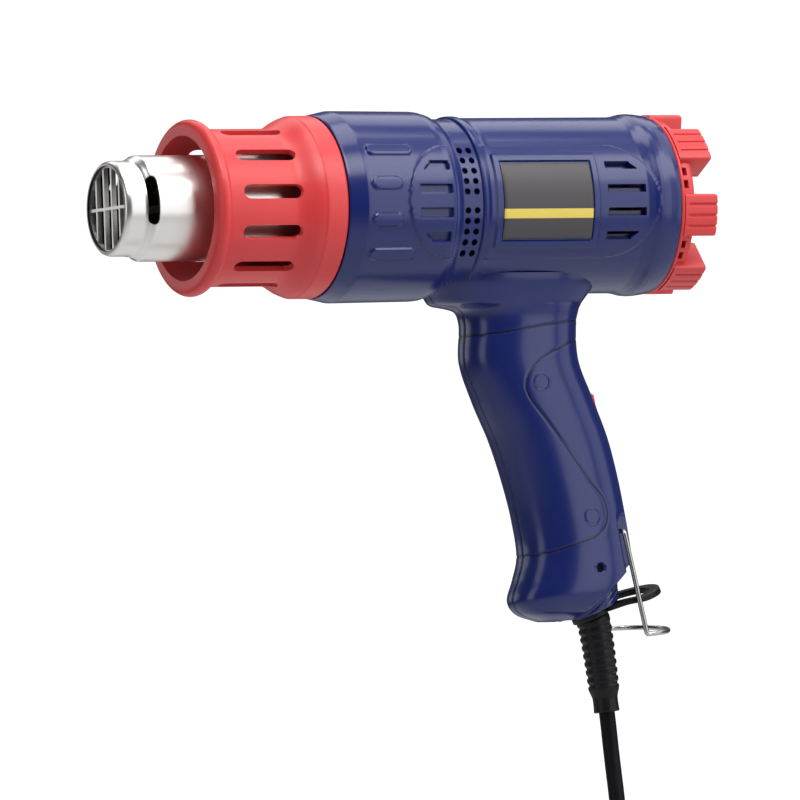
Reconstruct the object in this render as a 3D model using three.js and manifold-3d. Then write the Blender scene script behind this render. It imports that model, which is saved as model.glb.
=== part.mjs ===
// A pistol-grip hot air tool in millimetres, +Z up.
// Pieces are drawn in the tool frame: x runs back along the barrel from the nozzle's mouth,
// z is height over the barrel's axis and y = 0 is the plane where the housing halves meet.
// The part's own origin is the place on the grip where the hand holds it.
import * as THREE from "three";
import { mergeVertices } from "three/addons/utils/BufferGeometryUtils.js";
import Module from "manifold-3d";

const wasm = await Module();
wasm.setup();

// Fits
const gap = 0.3;
const splitGap = 0.3;
const cutPast = 1;
const cutReach = 40;
const cutAll = 400;

// Place of the hand on the grip
const gripSetback = 193;
const gripDrop = 94;

// Steel nozzle
const nozzleMouthR = 19.1;
const nozzleTubeR = 21.2;
const nozzleWall = 0.8;
const nozzleMouthLength = 9.4;
const nozzleStepLength = 3.1;
const nozzleLength = 108.7;
const nozzleFlangeR = 30;
const nozzleFlangeThick = 1.2;
const nozzleSlotCount = 3;
const nozzleLipDrop = 1.2;
const nozzleLipLength = 2.2;
const nozzleSlotAngle = 7;
const nozzleSlotArc = 57;
const nozzleSlotWidth = 4.4;
const nozzleSlotX = 11.7;

// Grille in the nozzle's mouth
const grilleInset = 0.9;
const grilleDepth = 2;
const grilleRim = 1.5;
const grilleBar = 1.2;
const grilleBars = 4;
const grillePitch = 6.9;

// Heat guard
const guardBeadX = 37;
const guardBeadR = 35.4;
const guardBeadHalf = 3.1;
const guardTubeR = 31.5;
const guardWall = 2.5;
const guardFlareX = 69;
const guardFlareLength = 12;
const guardFlangeStep = 0.26;
const guardRearX = 90;
const guardSpigotLength = 7;
const guardSlotCount = 12;
const guardSlotAngle = 21.5;
const guardSlotX = 46.3;
const guardSlotLength = 26;
const guardSlotWidth = 5.8;

// Barrel of the housing
const barrelWall = 2.6;
const barrelChamfer = 1.6;
const barrelChamferLength = 3.7;
const barrelFrontR = 38.46;
const barrelTaper = 0.4;
const shoulderX = 135;
const shoulderLength = 7;
const waistDrop = 3.46;
const rearBodyX = 150.8;
const rearLipRise = 1.1;
const rearLipLength = 5;
const rearBodyRise = 0.4;
const rearRingX = 230;
const rearRingRise = 1.6;
const rearRingLength = 3;
const rearRingRamp = 5;
const barrelRearX = 239;
const flangeRib = 2.2;
const flangeGrip = 2;

// Moulded relief on both sides of the barrel
const padRise = 0.9;
const capsuleX = 100;
const capsuleWidth = 5;
const capsuleLong = 20.5;
const capsuleShort = 13.3;
const capsuleAngles = [-33, -11, 11, 33];
const archFrontX = 116;
const archRearX = 137;
const panelHalf = 22.5;
const panelBendX = 207;
const panelRearX = 229;
const frameFrontX = 156;
const frameRearX = 202;
const frameHalf = 18.3;
const frameBand = 2.8;
const frameRise = 0.9;
const labelThick = 0.6;

// Vents
const ventPitch = 9.4;
const frontVentFrontX = 121;
const frontVentRearX = 135;
const frontVentHigh = 3.5;
const frontVentDepth = 1.8;
const rearVentFrontX = 206;
const rearVentRearX = 223;
const rearVentHigh = 3.2;
const ventSlant = 6;
const holeColumns = [143.7, 147.8];
const holeFirstZ = 3.8;
const holePitch = 4.2;
const holeRows = 5;
const holeR = 1.3;

// Grip: height, front edge, rear edge and half width of its level sections
const gripStations = [
  [-24, 138, 215, 23],
  [-31, 139, 214, 22],
  [-36, 142, 210.5, 20.6],
  [-39.3, 144.5, 207.8, 19.5],
  [-40.6, 151, 206.9, 19.1],
  [-42.3, 156, 206, 18.6],
  [-47, 157.6, 204.9, 17.8],
  [-62, 156.9, 205.2, 17.4],
  [-78, 162.1, 211, 17.8],
  [-94, 169.1, 217, 18],
  [-110, 174.3, 221, 17.8],
  [-126, 178.2, 223.9, 17.6],
  [-141, 180, 226, 17.8],
  [-150, 177.6, 227, 18],
  [-158, 174.8, 224, 17.2],
  [-163.5, 177.5, 216, 14],
  [-167, 186, 204, 7.5],
];
const gripPower = 2.6;
const gripWall = 2.5;
const gripCavityRearX = 211;
const gripCavityBottomZ = -134;
const pommelCutRear = [222.8, -144.6];
const pommelCutFront = [197.5, -167.1];

// Cord exit under the grip
const exitX = 209;
const exitZ = -163;
const exitTilt = 24;
const collarR = 13;
const collarStepR = 15.5;
const collarStep = 2.6;
const collarDepth = 14;

// Screws and plugs that hold the halves
const screwPlaces = [
  [182.5, -71.7],
  [203.2, -126],
  [206, -146.5],
];
const screwHeadR = 2;
const screwHeadThick = 1.8;
const screwShankR = 1.3;
const screwReach = 10;
const screwSeatY = 9.5;
const bossR = 4;
const plugR = 3;
const plugThick = 1.8;
const plugFaceY = 17.4;

// Switch at the back of the grip
const switchX = 210.6;
const switchZ = -81.2;
const switchTilt = 20.6;
const bezelLong = 17;
const bezelWide = 12.4;
const bezelThick = 1.2;
const switchLong = 15;
const switchWide = 10.4;
const switchDeep = 13;
const switchRear = 6;
const rockerR = 6.2;
const rockerWide = 8;
const rockerPivot = 1.3;
const rockerTop = 45;
const rockerFoot = 15;
const rockerDip = 2.6;
const rockerRest = 8;
const rockerWell = 5.4;

// Wire stand bail
const wireR = 1;
const bailPivotX = 217.9;
const bailPivotZ = -131.7;
const bailLegLength = 42.6;
const bailLegTilt = 10.3;
const bailHalf = 15.9;
const bailSkew = 4.5;
const bailBend = 2.5;
const bailPin = 6.5;
const ridgeHalf = 11.5;
const recessAbove = 5;
const recessRoom = 1.2;

// Hanging loop and strain relief
const loopThick = 2.6;
const loopOuterR = 14.4;
const loopInnerR = 9.8;
const loopReach = 18.2;
const eyeOuterR = 8;
const neckR = 4.6;
const reliefEndX = 215.3;
const reliefEndZ = -203;
const reliefTopR = 6.9;
const neckBack = 4;
const reliefTipR = 6.2;
const reliefSleeveR = 5.2;
const reliefRibs = 9;
const reliefRibDepth = 0.9;
const reliefSleeve = 11;
const reliefLead = 4;
const reliefTail = 14;
const reliefLean = 1.4;

// Mains cord, its hank, tie and plug
const cordR = 3.25;
const hankX = 216.4;
const hankTopZ = -292;
const hankRun = 75;
const hankFold = 19.5;
const hankPitch = 7.8;
const hankClimb = 0.25;
const hankDraw = 8;
const hankTurns = 5;
const hankReverse = 2.375;
const hankLayerY = 1.95;
const hankSteps = 24;
const tieHigh = 8;
const tieThick = 1.4;
const leadInY = -5.85;
const plugSleeveR = 4.6;
const plugSleeveLength = 25;
const plugLong = 36;
const plugHalfX = 11;
const plugHalfY = 18;
const pinR = 2.4;
const pinLength = 19;
const pinSpread = 19;

// Heater
const sleeveThick = 0.7;
const sleeveFrontX = 16;
const sleeveLength = 88;
const coreFrontX = 24;
const coreLength = 76;
const coreArm = 3;
const coreEnd = 4;
const coilR = 16.4;
const coilWireR = 0.7;
const coilTurns = 7;
const fuseR = 2;
const fuseLength = 10;
const fuseZ = 8;

// Air path and motor
const funnelWall = 1.2;
const funnelThroatR = 22.8;
const funnelThroatLength = 7;
const funnelMouthX = 156;
const funnelLength = 53;
const motorR = 18;
const motorFrontX = 184;
const motorLength = 38;
const motorWall = 1.2;
const bellThick = 3;
const holderX = 190;
const holderThick = 3;
const holderPorts = 6;
const holderPortWall = 2.2;
const shaftInset = 1;
const shaftTail = 2;
const shaftR = 1.6;
const bushR = 4;
const bushLength = 4.6;
const rotorR = 11;
const rotorLength = 24;
const fanFrontX = 166;
const fanLength = 14;
const fanHubR = 7;
const fanRoom = 3.4;
const fanBlades = 7;
const fanPitch = 38;
const bladeInset = 1;
const bladeThick = 1.2;

// Rear cap
const capFlangeThick = 1.5;
const capFlangeDrop = 0.8;
const capBandStep = 2;
const capBandLength = 5.2;
const capWall = 2.2;
const capSpigotLength = 7;
const blockCount = 7;
const blockAngle = -10.4;
const blockArc = 28;
const blockRise = 0.4;
const blockInnerR = 21;
const blockLength = 14.6;
const blockEdge = 0.9;
const grooveCount = 3;
const grooveWidth = 0.9;
const grooveDepth = 0.8;
const grooveFrom = 2;
const intakeWidth = 3.4;
const intakeStep = 9;
const discSlotWidth = 4;
const discSlotInnerR = 8;
const discSlotOuterR = 18;

// Inner parts of the grip
const clampX = 190;
const clampZ = -117;
const clampHalf = 8;
const clampHigh = 6;
const clampThick = 3.6;
const clampScrewX = 5.9;
const boardFrontX = 166;
const boardRearX = 194;
const boardTopZ = -44;
const boardBottomZ = -62;
const boardY = 3;
const boardThick = 1.6;
const leadR = 1;
const leadLean = 0.4;
const leadRise = 5;
const cordTailRise = 10;

// Roundness
const roundBarrel = 36;
const roundGuard = 30;
const roundCap = 26;
const roundSmall = 18;
const roundGrip = 22;
const roundCavity = 14;
const gripSections = 18;
const cavitySections = 9;
const roundScrew = 8;

const degrees = Math.PI / 180;
const axialDrop = new THREE.Vector3(Math.sin(exitTilt * degrees), 0, -Math.cos(exitTilt * degrees));

// A closed geometry as a solid, with its faces pointing out.
function solid(geometry) {
  const bare = geometry.clone();
  bare.deleteAttribute("normal");
  bare.deleteAttribute("uv");
  const merged = mergeVertices(bare, 1e-4);
  const triVerts = new Uint32Array(merged.index.array);
  const vertProperties = merged.attributes.position.array;
  let made = new wasm.Manifold(new wasm.Mesh({ numProp: 3, vertProperties, triVerts }));
  if (made.volume() < 0) {
    for (let i = 0; i < triVerts.length; i += 3) {
      [triVerts[i + 1], triVerts[i + 2]] = [triVerts[i + 2], triVerts[i + 1]];
    }
    made = new wasm.Manifold(new wasm.Mesh({ numProp: 3, vertProperties, triVerts }));
  }
  return made;
}

function join(solids) {
  return solids.reduce((whole, next) => whole.add(next));
}

// A solid as a flat-shaded geometry.
function geometryOf(body) {
  const mesh = body.getMesh();
  const geometry = new THREE.BufferGeometry();
  const stride = mesh.numProp;
  const position = new Float32Array(mesh.numVert * 3);
  for (let i = 0; i < mesh.numVert; i++) {
    position.set(mesh.vertProperties.subarray(i * stride, i * stride + 3), i * 3);
  }
  geometry.setAttribute("position", new THREE.BufferAttribute(position, 3));
  geometry.setIndex(new THREE.BufferAttribute(new Uint32Array(mesh.triVerts), 1));
  const flat = geometry.toNonIndexed();
  flat.computeVertexNormals();
  return flat;
}

// A closed profile of [radius, x] points turned about the barrel's axis.
function turned(profile, segments) {
  const points = profile.map(([radius, x]) => new THREE.Vector2(radius, x));
  const open = profile[0][0] > 0 || profile[profile.length - 1][0] > 0;
  if (open) points.push(points[0].clone());
  const lathe = new THREE.LatheGeometry(points, segments);
  return solid(lathe.rotateZ(-Math.PI / 2));
}

function tubeAlongX(outerR, innerR, fromX, toX, segments) {
  return turned([[innerR, fromX], [outerR, fromX], [outerR, toX], [innerR, toX]], segments);
}

function rodAlongX(radius, fromX, toX, segments) {
  return turned([[0, fromX], [radius, fromX], [radius, toX], [0, toX]], segments);
}

function rodAlongY(radius, x, z, fromY, toY, segments) {
  const rod = new THREE.CylinderGeometry(radius, radius, toY - fromY, segments);
  return solid(rod.translate(x, (fromY + toY) / 2, z));
}

function block(fromX, toX, fromY, toY, fromZ, toZ) {
  const box = new THREE.BoxGeometry(toX - fromX, toY - fromY, toZ - fromZ);
  return solid(box.translate((fromX + toX) / 2, (fromY + toY) / 2, (fromZ + toZ) / 2));
}

// A flat outline in x and z, pulled from one y to another.
function prism(outline, fromY, toY, curveSegments = 5) {
  const options = { depth: toY - fromY, bevelEnabled: false, curveSegments };
  return solid(new THREE.ExtrudeGeometry(outline, options).rotateX(Math.PI / 2).translate(0, toY, 0));
}

function polygon(points) {
  return new THREE.Shape(points.map(([x, z]) => new THREE.Vector2(x, z)));
}

function rectangle(fromX, toX, halfZ, midZ = 0) {
  return polygon([
    [fromX, midZ - halfZ],
    [toX, midZ - halfZ],
    [toX, midZ + halfZ],
    [fromX, midZ + halfZ],
  ]);
}

// A slot with round ends along x.
function capsule(fromX, toX, half) {
  const shape = new THREE.Shape();
  shape.absarc(toX - half, 0, half, -Math.PI / 2, Math.PI / 2);
  shape.absarc(fromX + half, 0, half, Math.PI / 2, (3 * Math.PI) / 2);
  return shape;
}

// Rings of points, each with as many, skinned in order and closed at both ends.
function skinned(rings) {
  const count = rings[0].length;
  const points = rings.flat();
  const faces = [];
  for (let r = 0; r + 1 < rings.length; r++) {
    for (let k = 0; k < count; k++) {
      const a = r * count + k;
      const b = r * count + ((k + 1) % count);
      faces.push(a, b, b + count, a, b + count, a + count);
    }
  }
  const last = (rings.length - 1) * count;
  for (let k = 1; k + 1 < count; k++) {
    faces.push(0, k + 1, k, last, last + k, last + k + 1);
  }
  const geometry = new THREE.BufferGeometry().setFromPoints(points);
  geometry.setIndex(faces);
  return solid(geometry);
}

// A round tube of changing radius along points, its frame carried without twist.
function tubeAlong(points, radiusAt, sides) {
  const rings = [];
  const first = points[1].clone().sub(points[0]).normalize();
  let across = Math.abs(first.y) > 0.7 ? new THREE.Vector3(1, 0, 0) : new THREE.Vector3(0, 1, 0);
  points.forEach((point, i) => {
    const before = points[Math.max(i - 1, 0)];
    const after = points[Math.min(i + 1, points.length - 1)];
    const along = after.clone().sub(before).normalize();
    across = across.clone().addScaledVector(along, -across.dot(along)).normalize();
    const up = along.clone().cross(across);
    const radius = radiusAt(i);
    const ring = [];
    for (let k = 0; k < sides; k++) {
      const turn = (2 * Math.PI * k) / sides;
      ring.push(
        point
          .clone()
          .addScaledVector(across, radius * Math.cos(turn))
          .addScaledVector(up, radius * Math.sin(turn)),
      );
    }
    rings.push(ring);
  });
  return skinned(rings);
}

// A plain round tube swept along a curve.
function sweptTube(curve, radius, sides, steps) {
  const section = new THREE.Shape();
  for (let k = 0; k < sides; k++) {
    const turn = (2 * Math.PI * k) / sides;
    const x = radius * Math.cos(turn);
    const y = radius * Math.sin(turn);
    if (k === 0) section.moveTo(x, y);
    else section.lineTo(x, y);
  }
  return solid(new THREE.ExtrudeGeometry(section, { steps, extrudePath: curve, bevelEnabled: false }));
}

function smoothCurve(points) {
  return new THREE.CatmullRomCurve3(points.map(([x, y, z]) => new THREE.Vector3(x, y, z)));
}

// Radii of the barrel that several pieces share
const waistR = barrelFrontR - waistDrop;
const rearLipR = waistR + rearLipRise;
const rearBodyR = waistR + rearBodyRise;
const rearRingR = waistR + rearRingRise;
const frontInnerR = barrelFrontR - barrelWall;
const rearInnerR = waistR - barrelWall;
const guardFlangeR = barrelFrontR - barrelChamfer - guardFlangeStep;
const capFlangeR = rearRingR - capFlangeDrop;
const capBandR = capFlangeR - capBandStep;
const blockOuterR = capFlangeR + blockRise;
const fanR = rearInnerR - fanRoom;
const barrelFrontX = guardRearX + gap;
const waistX = shoulderX + shoulderLength;
const flangeX = nozzleLength - nozzleFlangeThick;

function barrelOuter() {
  return turned(
    [
      [0, barrelFrontX],
      [barrelFrontR - barrelChamfer, barrelFrontX],
      [barrelFrontR, barrelFrontX + barrelChamferLength],
      [barrelFrontR - barrelTaper, shoulderX],
      [barrelFrontR - barrelTaper - 0.4 * (barrelFrontR - waistR), shoulderX + 0.7 * shoulderLength],
      [waistR, waistX],
      [waistR, rearBodyX - gap],
      [rearLipR, rearBodyX],
      [rearLipR, rearBodyX + 0.6 * rearLipLength],
      [rearBodyR, rearBodyX + rearLipLength],
      [rearBodyR, rearRingX - rearRingRamp],
      [rearRingR, rearRingX],
      [rearRingR, rearRingX + rearRingLength],
      [capFlangeR, barrelRearX],
      [0, barrelRearX],
    ],
    roundBarrel,
  );
}

// The barrel's inside, with two ribs that hold the nozzle's flange between them.
function barrelInner() {
  const ribR = nozzleFlangeR - flangeGrip;
  return turned(
    [
      [0, barrelFrontX - cutPast],
      [frontInnerR, barrelFrontX - cutPast],
      [frontInnerR, flangeX - gap - flangeRib],
      [ribR, flangeX - gap - flangeRib],
      [ribR, flangeX - gap],
      [nozzleFlangeR + gap, flangeX - gap],
      [nozzleFlangeR + gap, nozzleLength + gap],
      [ribR, nozzleLength + gap],
      [ribR, nozzleLength + gap + flangeRib],
      [frontInnerR, nozzleLength + gap + flangeRib],
      [frontInnerR, shoulderX],
      [rearInnerR, waistX],
      [rearInnerR, barrelRearX + cutPast],
      [0, barrelRearX + cutPast],
    ],
    roundBarrel,
  );
}

// Level superellipse sections of the grip, drawn in by a wall for its inside.
const gripEdges = new THREE.CatmullRomCurve3(
  gripStations.map(([z, front, rear]) => new THREE.Vector3(front, rear, z)),
  false,
  "catmullrom",
);
const gripWidths = new THREE.CatmullRomCurve3(
  gripStations.map(([z, , , half]) => new THREE.Vector3(half, 0, z)),
  false,
  "catmullrom",
);

function gripSection(share, wall, rearLimit, sides) {
  const edge = gripEdges.getPoint(share);
  const front = edge.x + wall;
  const rear = Math.min(edge.y - wall, rearLimit);
  const half = gripWidths.getPoint(share).x - wall;
  const ring = [];
  for (let k = 0; k < sides; k++) {
    const turn = (2 * Math.PI * k) / sides;
    const bend = (value) => Math.sign(value) * Math.pow(Math.abs(value), 2 / gripPower);
    const x = (front + rear) / 2 + ((rear - front) / 2) * bend(Math.cos(turn));
    ring.push(new THREE.Vector3(x, half * bend(Math.sin(turn)), edge.z));
  }
  return ring;
}

// How far along the stations a height lies.
function gripShareAt(z) {
  let above = 0;
  let below = 1;
  for (let i = 0; i < 24; i++) {
    const middle = (above + below) / 2;
    if (gripEdges.getPoint(middle).z > z) above = middle;
    else below = middle;
  }
  return below;
}

function gripLoft(wall, rearLimit, bottomZ, sections, sides) {
  const end = gripShareAt(bottomZ);
  const rings = [];
  for (let i = 0; i <= sections; i++) {
    rings.push(gripSection((end * i) / sections, wall, rearLimit, sides));
  }
  return skinned(rings);
}

// A wedge that takes off everything behind and under the pommel's slanting cut.
function pommelCutter() {
  const [rearX, rearZ] = pommelCutRear;
  const [frontX, frontZ] = pommelCutFront;
  const slope = (rearZ - frontZ) / (rearX - frontX);
  return prism(
    polygon([
      [frontX - cutReach, frontZ - slope * cutReach],
      [rearX + cutReach, rearZ + slope * cutReach],
      [rearX + cutReach, frontZ - cutReach],
    ]),
    -cutReach,
    cutReach,
  );
}

// Turns a solid made about the x axis so that it runs down along the cord's exit.
function alongExit(body) {
  return body.rotate([0, 90 - exitTilt, 0]).translate([exitX, 0, exitZ]);
}

function collar() {
  return alongExit(
    turned(
      [
        [0, -collarDepth],
        [collarStepR, -collarDepth],
        [collarStepR, -collarStep],
        [collarR, -collarStep],
        [collarR, 0],
        [0, 0],
      ],
      roundSmall,
    ),
  );
}

// Raised pads are outlines cut from a thin shell round the barrel.
function padShell(baseR, rise, fromX, toX) {
  return tubeAlongX(baseR + rise, baseR - barrelWall / 2, fromX, toX, roundBarrel);
}

function sideways(outline, side) {
  const near = 0.3 * waistR;
  const far = barrelFrontR + cutReach;
  return side < 0 ? prism(outline, -far, -near) : prism(outline, near, far);
}

function archOutline() {
  const shape = new THREE.Shape();
  shape.moveTo(archRearX, -panelHalf);
  shape.absellipse(archRearX, 0, archRearX - archFrontX, panelHalf, 1.5 * Math.PI, 0.5 * Math.PI, true);
  return shape;
}

function panelOutline() {
  const shape = new THREE.Shape();
  shape.moveTo(rearBodyX, panelHalf);
  shape.lineTo(rearBodyX, -panelHalf);
  shape.absellipse(panelBendX, 0, panelRearX - panelBendX, panelHalf, -0.5 * Math.PI, 0.5 * Math.PI);
  return shape;
}

function relief(side) {
  const taperR = barrelFrontR - barrelTaper;
  const frontShell = padShell(taperR, padRise, capsuleX, archRearX);
  const arch = sideways(archOutline(), side).intersect(frontShell);
  const capsules = capsuleAngles.map((angle, i) => {
    const long = i === 0 || i === capsuleAngles.length - 1;
    const toX = capsuleX + (long ? capsuleLong : capsuleShort);
    const bar = sideways(capsule(capsuleX, toX, capsuleWidth / 2), side);
    return bar.rotate([angle, 0, 0]).intersect(frontShell);
  });
  const panelShell = padShell(rearBodyR, rearLipR - rearBodyR, rearBodyX, panelRearX);
  const panel = sideways(panelOutline(), side).intersect(panelShell);
  const frameShell = padShell(rearLipR, frameRise, frameFrontX, frameRearX);
  const frame = sideways(rectangle(frameFrontX, frameRearX, frameHalf), side).intersect(frameShell);
  return [arch, ...capsules, panel, frame];
}

// The sunk field inside the label's frame.
function labelField(side, inset) {
  return sideways(
    rectangle(frameFrontX + frameBand + inset, frameRearX - frameBand - inset, frameHalf - frameBand - inset),
    side,
  );
}

// Four slots in a row over each other, the outer two shorter with a slanting end.
function ventOutlines(frontX, rearX, high, slantFront) {
  return [-1.5, -0.5, 0.5, 1.5].map((row) => {
    const z = row * ventPitch;
    if (Math.abs(row) < 1) return rectangle(frontX, rearX, high / 2, z);
    const away = Math.sign(row) * (high / 2);
    const shortX = slantFront ? frontX + ventSlant : rearX - ventSlant;
    const squareX = slantFront ? rearX : frontX;
    const lean = slantFront ? -high : high;
    return polygon([
      [squareX, z - away],
      [shortX + lean, z - away],
      [shortX, z + away],
      [squareX, z + away],
    ]);
  });
}

function barrelCuts(side) {
  const floorR = barrelFrontR - barrelTaper + padRise - frontVentDepth;
  const pocketShell = tubeAlongX(floorR + cutReach, floorR, archFrontX, archRearX, roundBarrel);
  const pockets = ventOutlines(frontVentFrontX, frontVentRearX, frontVentHigh, true).map((outline) =>
    sideways(outline, side).intersect(pocketShell),
  );
  const vents = ventOutlines(rearVentFrontX, rearVentRearX, rearVentHigh, false).map((outline) =>
    sideways(outline, side),
  );
  const holes = [];
  for (const x of holeColumns) {
    for (let row = 0; row < holeRows; row++) {
      for (const up of [-1, 1]) {
        const z = up * (holeFirstZ + row * holePitch);
        const far = side * (waistR + cutReach);
        const near = side * (0.5 * rearInnerR);
        holes.push(rodAlongY(holeR, x, z, Math.min(near, far), Math.max(near, far), 6));
      }
    }
  }
  const fieldShell = tubeAlongX(rearLipR + cutReach, rearLipR, frameFrontX, frameRearX, roundBarrel);
  const field = labelField(side, 0).intersect(fieldShell);
  return [...pockets, ...vents, ...holes, field];
}

// The notch beside the grip's rear ridge where a leg of the bail lies, and its pin's hole.
function bailCuts(side) {
  const far = cutReach;
  const from = side < 0 ? -far : ridgeHalf;
  const to = side < 0 ? -ridgeHalf : far;
  const notch = block(-wireR - recessRoom, far, from, to, -bailLegLength, recessAbove)
    .rotate([0, -bailLegTilt, 0])
    .translate([bailPivotX, 0, bailPivotZ]);
  const holeFrom = side < 0 ? -far : ridgeHalf - bailPin;
  const holeTo = side < 0 ? -ridgeHalf + bailPin : far;
  return [notch, rodAlongY(wireR + gap, bailPivotX, bailPivotZ, holeFrom, holeTo, 6)];
}

function switchPlaced(body) {
  return body.rotate([0, -switchTilt, 0]).translate([switchX, 0, switchZ]);
}

// A point given out from the bezel's plane and up along it.
function switchPoint(out, up) {
  const tilt = switchTilt * degrees;
  const x = switchX + out * Math.cos(tilt) - up * Math.sin(tilt);
  return [x, 0, switchZ + out * Math.sin(tilt) + up * Math.cos(tilt)];
}

function switchRoom() {
  const wellWide = switchWide / 2 + gap;
  const wellLong = switchLong / 2 + gap;
  const seatWide = bezelWide / 2 + gap;
  const seatLong = bezelLong / 2 + gap;
  const well = block(-switchDeep - switchRear, cutReach, -wellWide, wellWide, -wellLong, wellLong);
  const seat = block(-gap, cutReach, -seatWide, seatWide, -seatLong, seatLong);
  return switchPlaced(well.add(seat));
}

// Cord inside the grip, from its exit up to the clamp and on towards the switch
const cordTailTopZ = clampZ + cordTailRise;
const cordTailRoute = [
  [exitX, 0, exitZ],
  [204, 0, -154.5],
  [198, 0, -146],
  [193.4, 0, -137],
  [191, 0, -127],
  [clampX, 0, clampZ],
  [clampX, 0, cordTailTopZ],
];

function cordChannel() {
  const route = smoothCurve(cordTailRoute);
  const neckRoom = alongExit(rodAlongX(neckR + gap, -collarDepth, cutPast, roundSmall));
  return sweptTube(route, cordR + gap, 10, 14).add(neckRoom);
}

function screwCuts(place, side, plugged) {
  const [x, z] = place;
  const shank = rodAlongY(screwShankR + gap, x, z, -screwSeatY - cutPast, screwReach + cutPast, roundScrew);
  if (side > 0) return [shank];
  const bore = rodAlongY(screwHeadR + gap, x, z, -cutReach, -screwSeatY, roundScrew);
  const mouthY = -plugFaceY + plugThick + gap;
  const mouth = rodAlongY(plugR + gap, x, z, -cutReach, mouthY, 2 * roundScrew);
  return plugged ? [shank, bore, mouth] : [shank, bore];
}

// Posts inside the grip for the screws, and ribs that carry the clamp and the board.
function gripPosts(side, outer) {
  const posts = screwPlaces.map(([x, z]) => rodAlongY(bossR, x, z, -cutReach, cutReach, roundScrew));
  if (side > 0) {
    posts.push(
      block(
        clampX - clampHalf,
        clampX + clampHalf,
        cordR + gap,
        cutReach,
        clampZ - clampHigh / 2,
        clampZ + clampHigh / 2,
      ),
    );
    const ribY = boardY + boardThick + gap;
    for (const x of [boardFrontX, boardRearX - gripWall]) {
      posts.push(block(x, x + gripWall, ribY, cutReach, boardBottomZ, boardTopZ));
    }
  }
  return join(posts).intersect(outer);
}

function housingHalf(side) {
  const grip = gripLoft(0, Infinity, -Infinity, gripSections, roundGrip).subtract(pommelCutter());
  const outer = join([barrelOuter(), grip, collar()]);
  const cavity = gripLoft(gripWall, gripCavityRearX, gripCavityBottomZ, cavitySections, roundCavity);
  const hollow = barrelInner().add(cavity);
  const shell = join([outer, ...relief(side)]).subtract(hollow);
  const posts = gripPosts(side, gripLoft(gripWall / 2, Infinity, -Infinity, gripSections, roundGrip));
  const cuts = [
    ...barrelCuts(side),
    ...bailCuts(side),
    ...screwPlaces.flatMap((place, i) => screwCuts(place, side, i < 2)),
    ...clampScrewHoles(),
    switchRoom(),
    cordChannel(),
  ];
  const keepFrom = side < 0 ? -cutAll : splitGap / 2;
  const keepTo = side < 0 ? -splitGap / 2 : cutAll;
  const keep = block(-cutAll, cutAll, keepFrom, keepTo, -cutAll, cutAll);
  return shell.add(posts.subtract(barrelInner())).subtract(join(cuts)).intersect(keep);
}

function heatGuard() {
  const beadR = guardBeadR - guardBeadHalf;
  const profile = [];
  for (let k = 0; k <= 5; k++) {
    const turn = Math.PI * (1 - k / 4);
    profile.push([beadR - guardBeadHalf * -Math.cos(turn), guardBeadX - guardBeadHalf * Math.sin(turn)]);
  }
  profile.push([guardTubeR, guardBeadX + guardBeadHalf]);
  const flareRise = guardFlangeR - guardTubeR;
  for (const share of [0, 0.35, 0.7, 1]) {
    const ease = share * share * (3 - 2 * share);
    profile.push([guardTubeR + flareRise * ease, guardFlareX + guardFlareLength * share]);
  }
  const spigotR = frontInnerR - gap;
  profile.push([guardFlangeR, guardRearX]);
  profile.push([spigotR, guardRearX]);
  profile.push([spigotR, guardRearX + guardSpigotLength]);
  profile.push([spigotR - guardWall, guardRearX + guardSpigotLength]);
  profile.push([spigotR - guardWall, guardFlareX + guardFlareLength]);
  profile.push([guardTubeR - guardWall, guardFlareX]);
  profile.push([guardTubeR - guardWall, guardBeadX + guardBeadHalf]);
  const slots = [];
  const half = guardSlotWidth / 2;
  for (let k = 0; k < guardSlotCount; k++) {
    const outline = capsule(guardSlotX, guardSlotX + guardSlotLength, half);
    const slot = prism(outline, -guardFlangeR - cutPast, -guardTubeR / 2, 2);
    slots.push(slot.rotate([guardSlotAngle + (360 * k) / guardSlotCount, 0, 0]));
  }
  return turned(profile, roundGuard).subtract(join(slots));
}

function nozzleTube() {
  const mouthIn = nozzleMouthR - nozzleWall;
  const lipIn = mouthIn - nozzleLipDrop;
  const tubeIn = nozzleTubeR - nozzleWall;
  const stepEnd = nozzleMouthLength + nozzleStepLength;
  const body = turned(
    [
      [lipIn, 0],
      [lipIn + nozzleWall, 0],
      [nozzleMouthR, nozzleLipLength],
      [nozzleMouthR, nozzleMouthLength],
      [nozzleTubeR, stepEnd],
      [nozzleTubeR, flangeX],
      [nozzleFlangeR, flangeX],
      [nozzleFlangeR, nozzleLength],
      [tubeIn, nozzleLength],
      [tubeIn, stepEnd],
      [mouthIn, nozzleMouthLength],
      [mouthIn, nozzleWall],
    ],
    roundGuard,
  );
  const slots = [];
  for (let k = 0; k < nozzleSlotCount; k++) {
    const middle = nozzleSlotAngle + (360 * k) / nozzleSlotCount;
    const sector = new THREE.Shape();
    const reach = (angle) => (angle - 90) * degrees;
    sector.absarc(0, 0, nozzleTubeR + cutPast, reach(-nozzleSlotArc / 2), reach(nozzleSlotArc / 2));
    sector.absarc(0, 0, mouthIn - cutPast, reach(nozzleSlotArc / 2), reach(-nozzleSlotArc / 2), true);
    const options = { depth: nozzleSlotWidth, bevelEnabled: false, curveSegments: 8 };
    const cut = new THREE.ExtrudeGeometry(sector, options);
    cut.rotateY(Math.PI / 2).translate(nozzleSlotX - nozzleSlotWidth / 2, 0, 0);
    slots.push(solid(cut).rotate([-middle, 0, 0]));
  }
  return body.subtract(join(slots));
}

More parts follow.
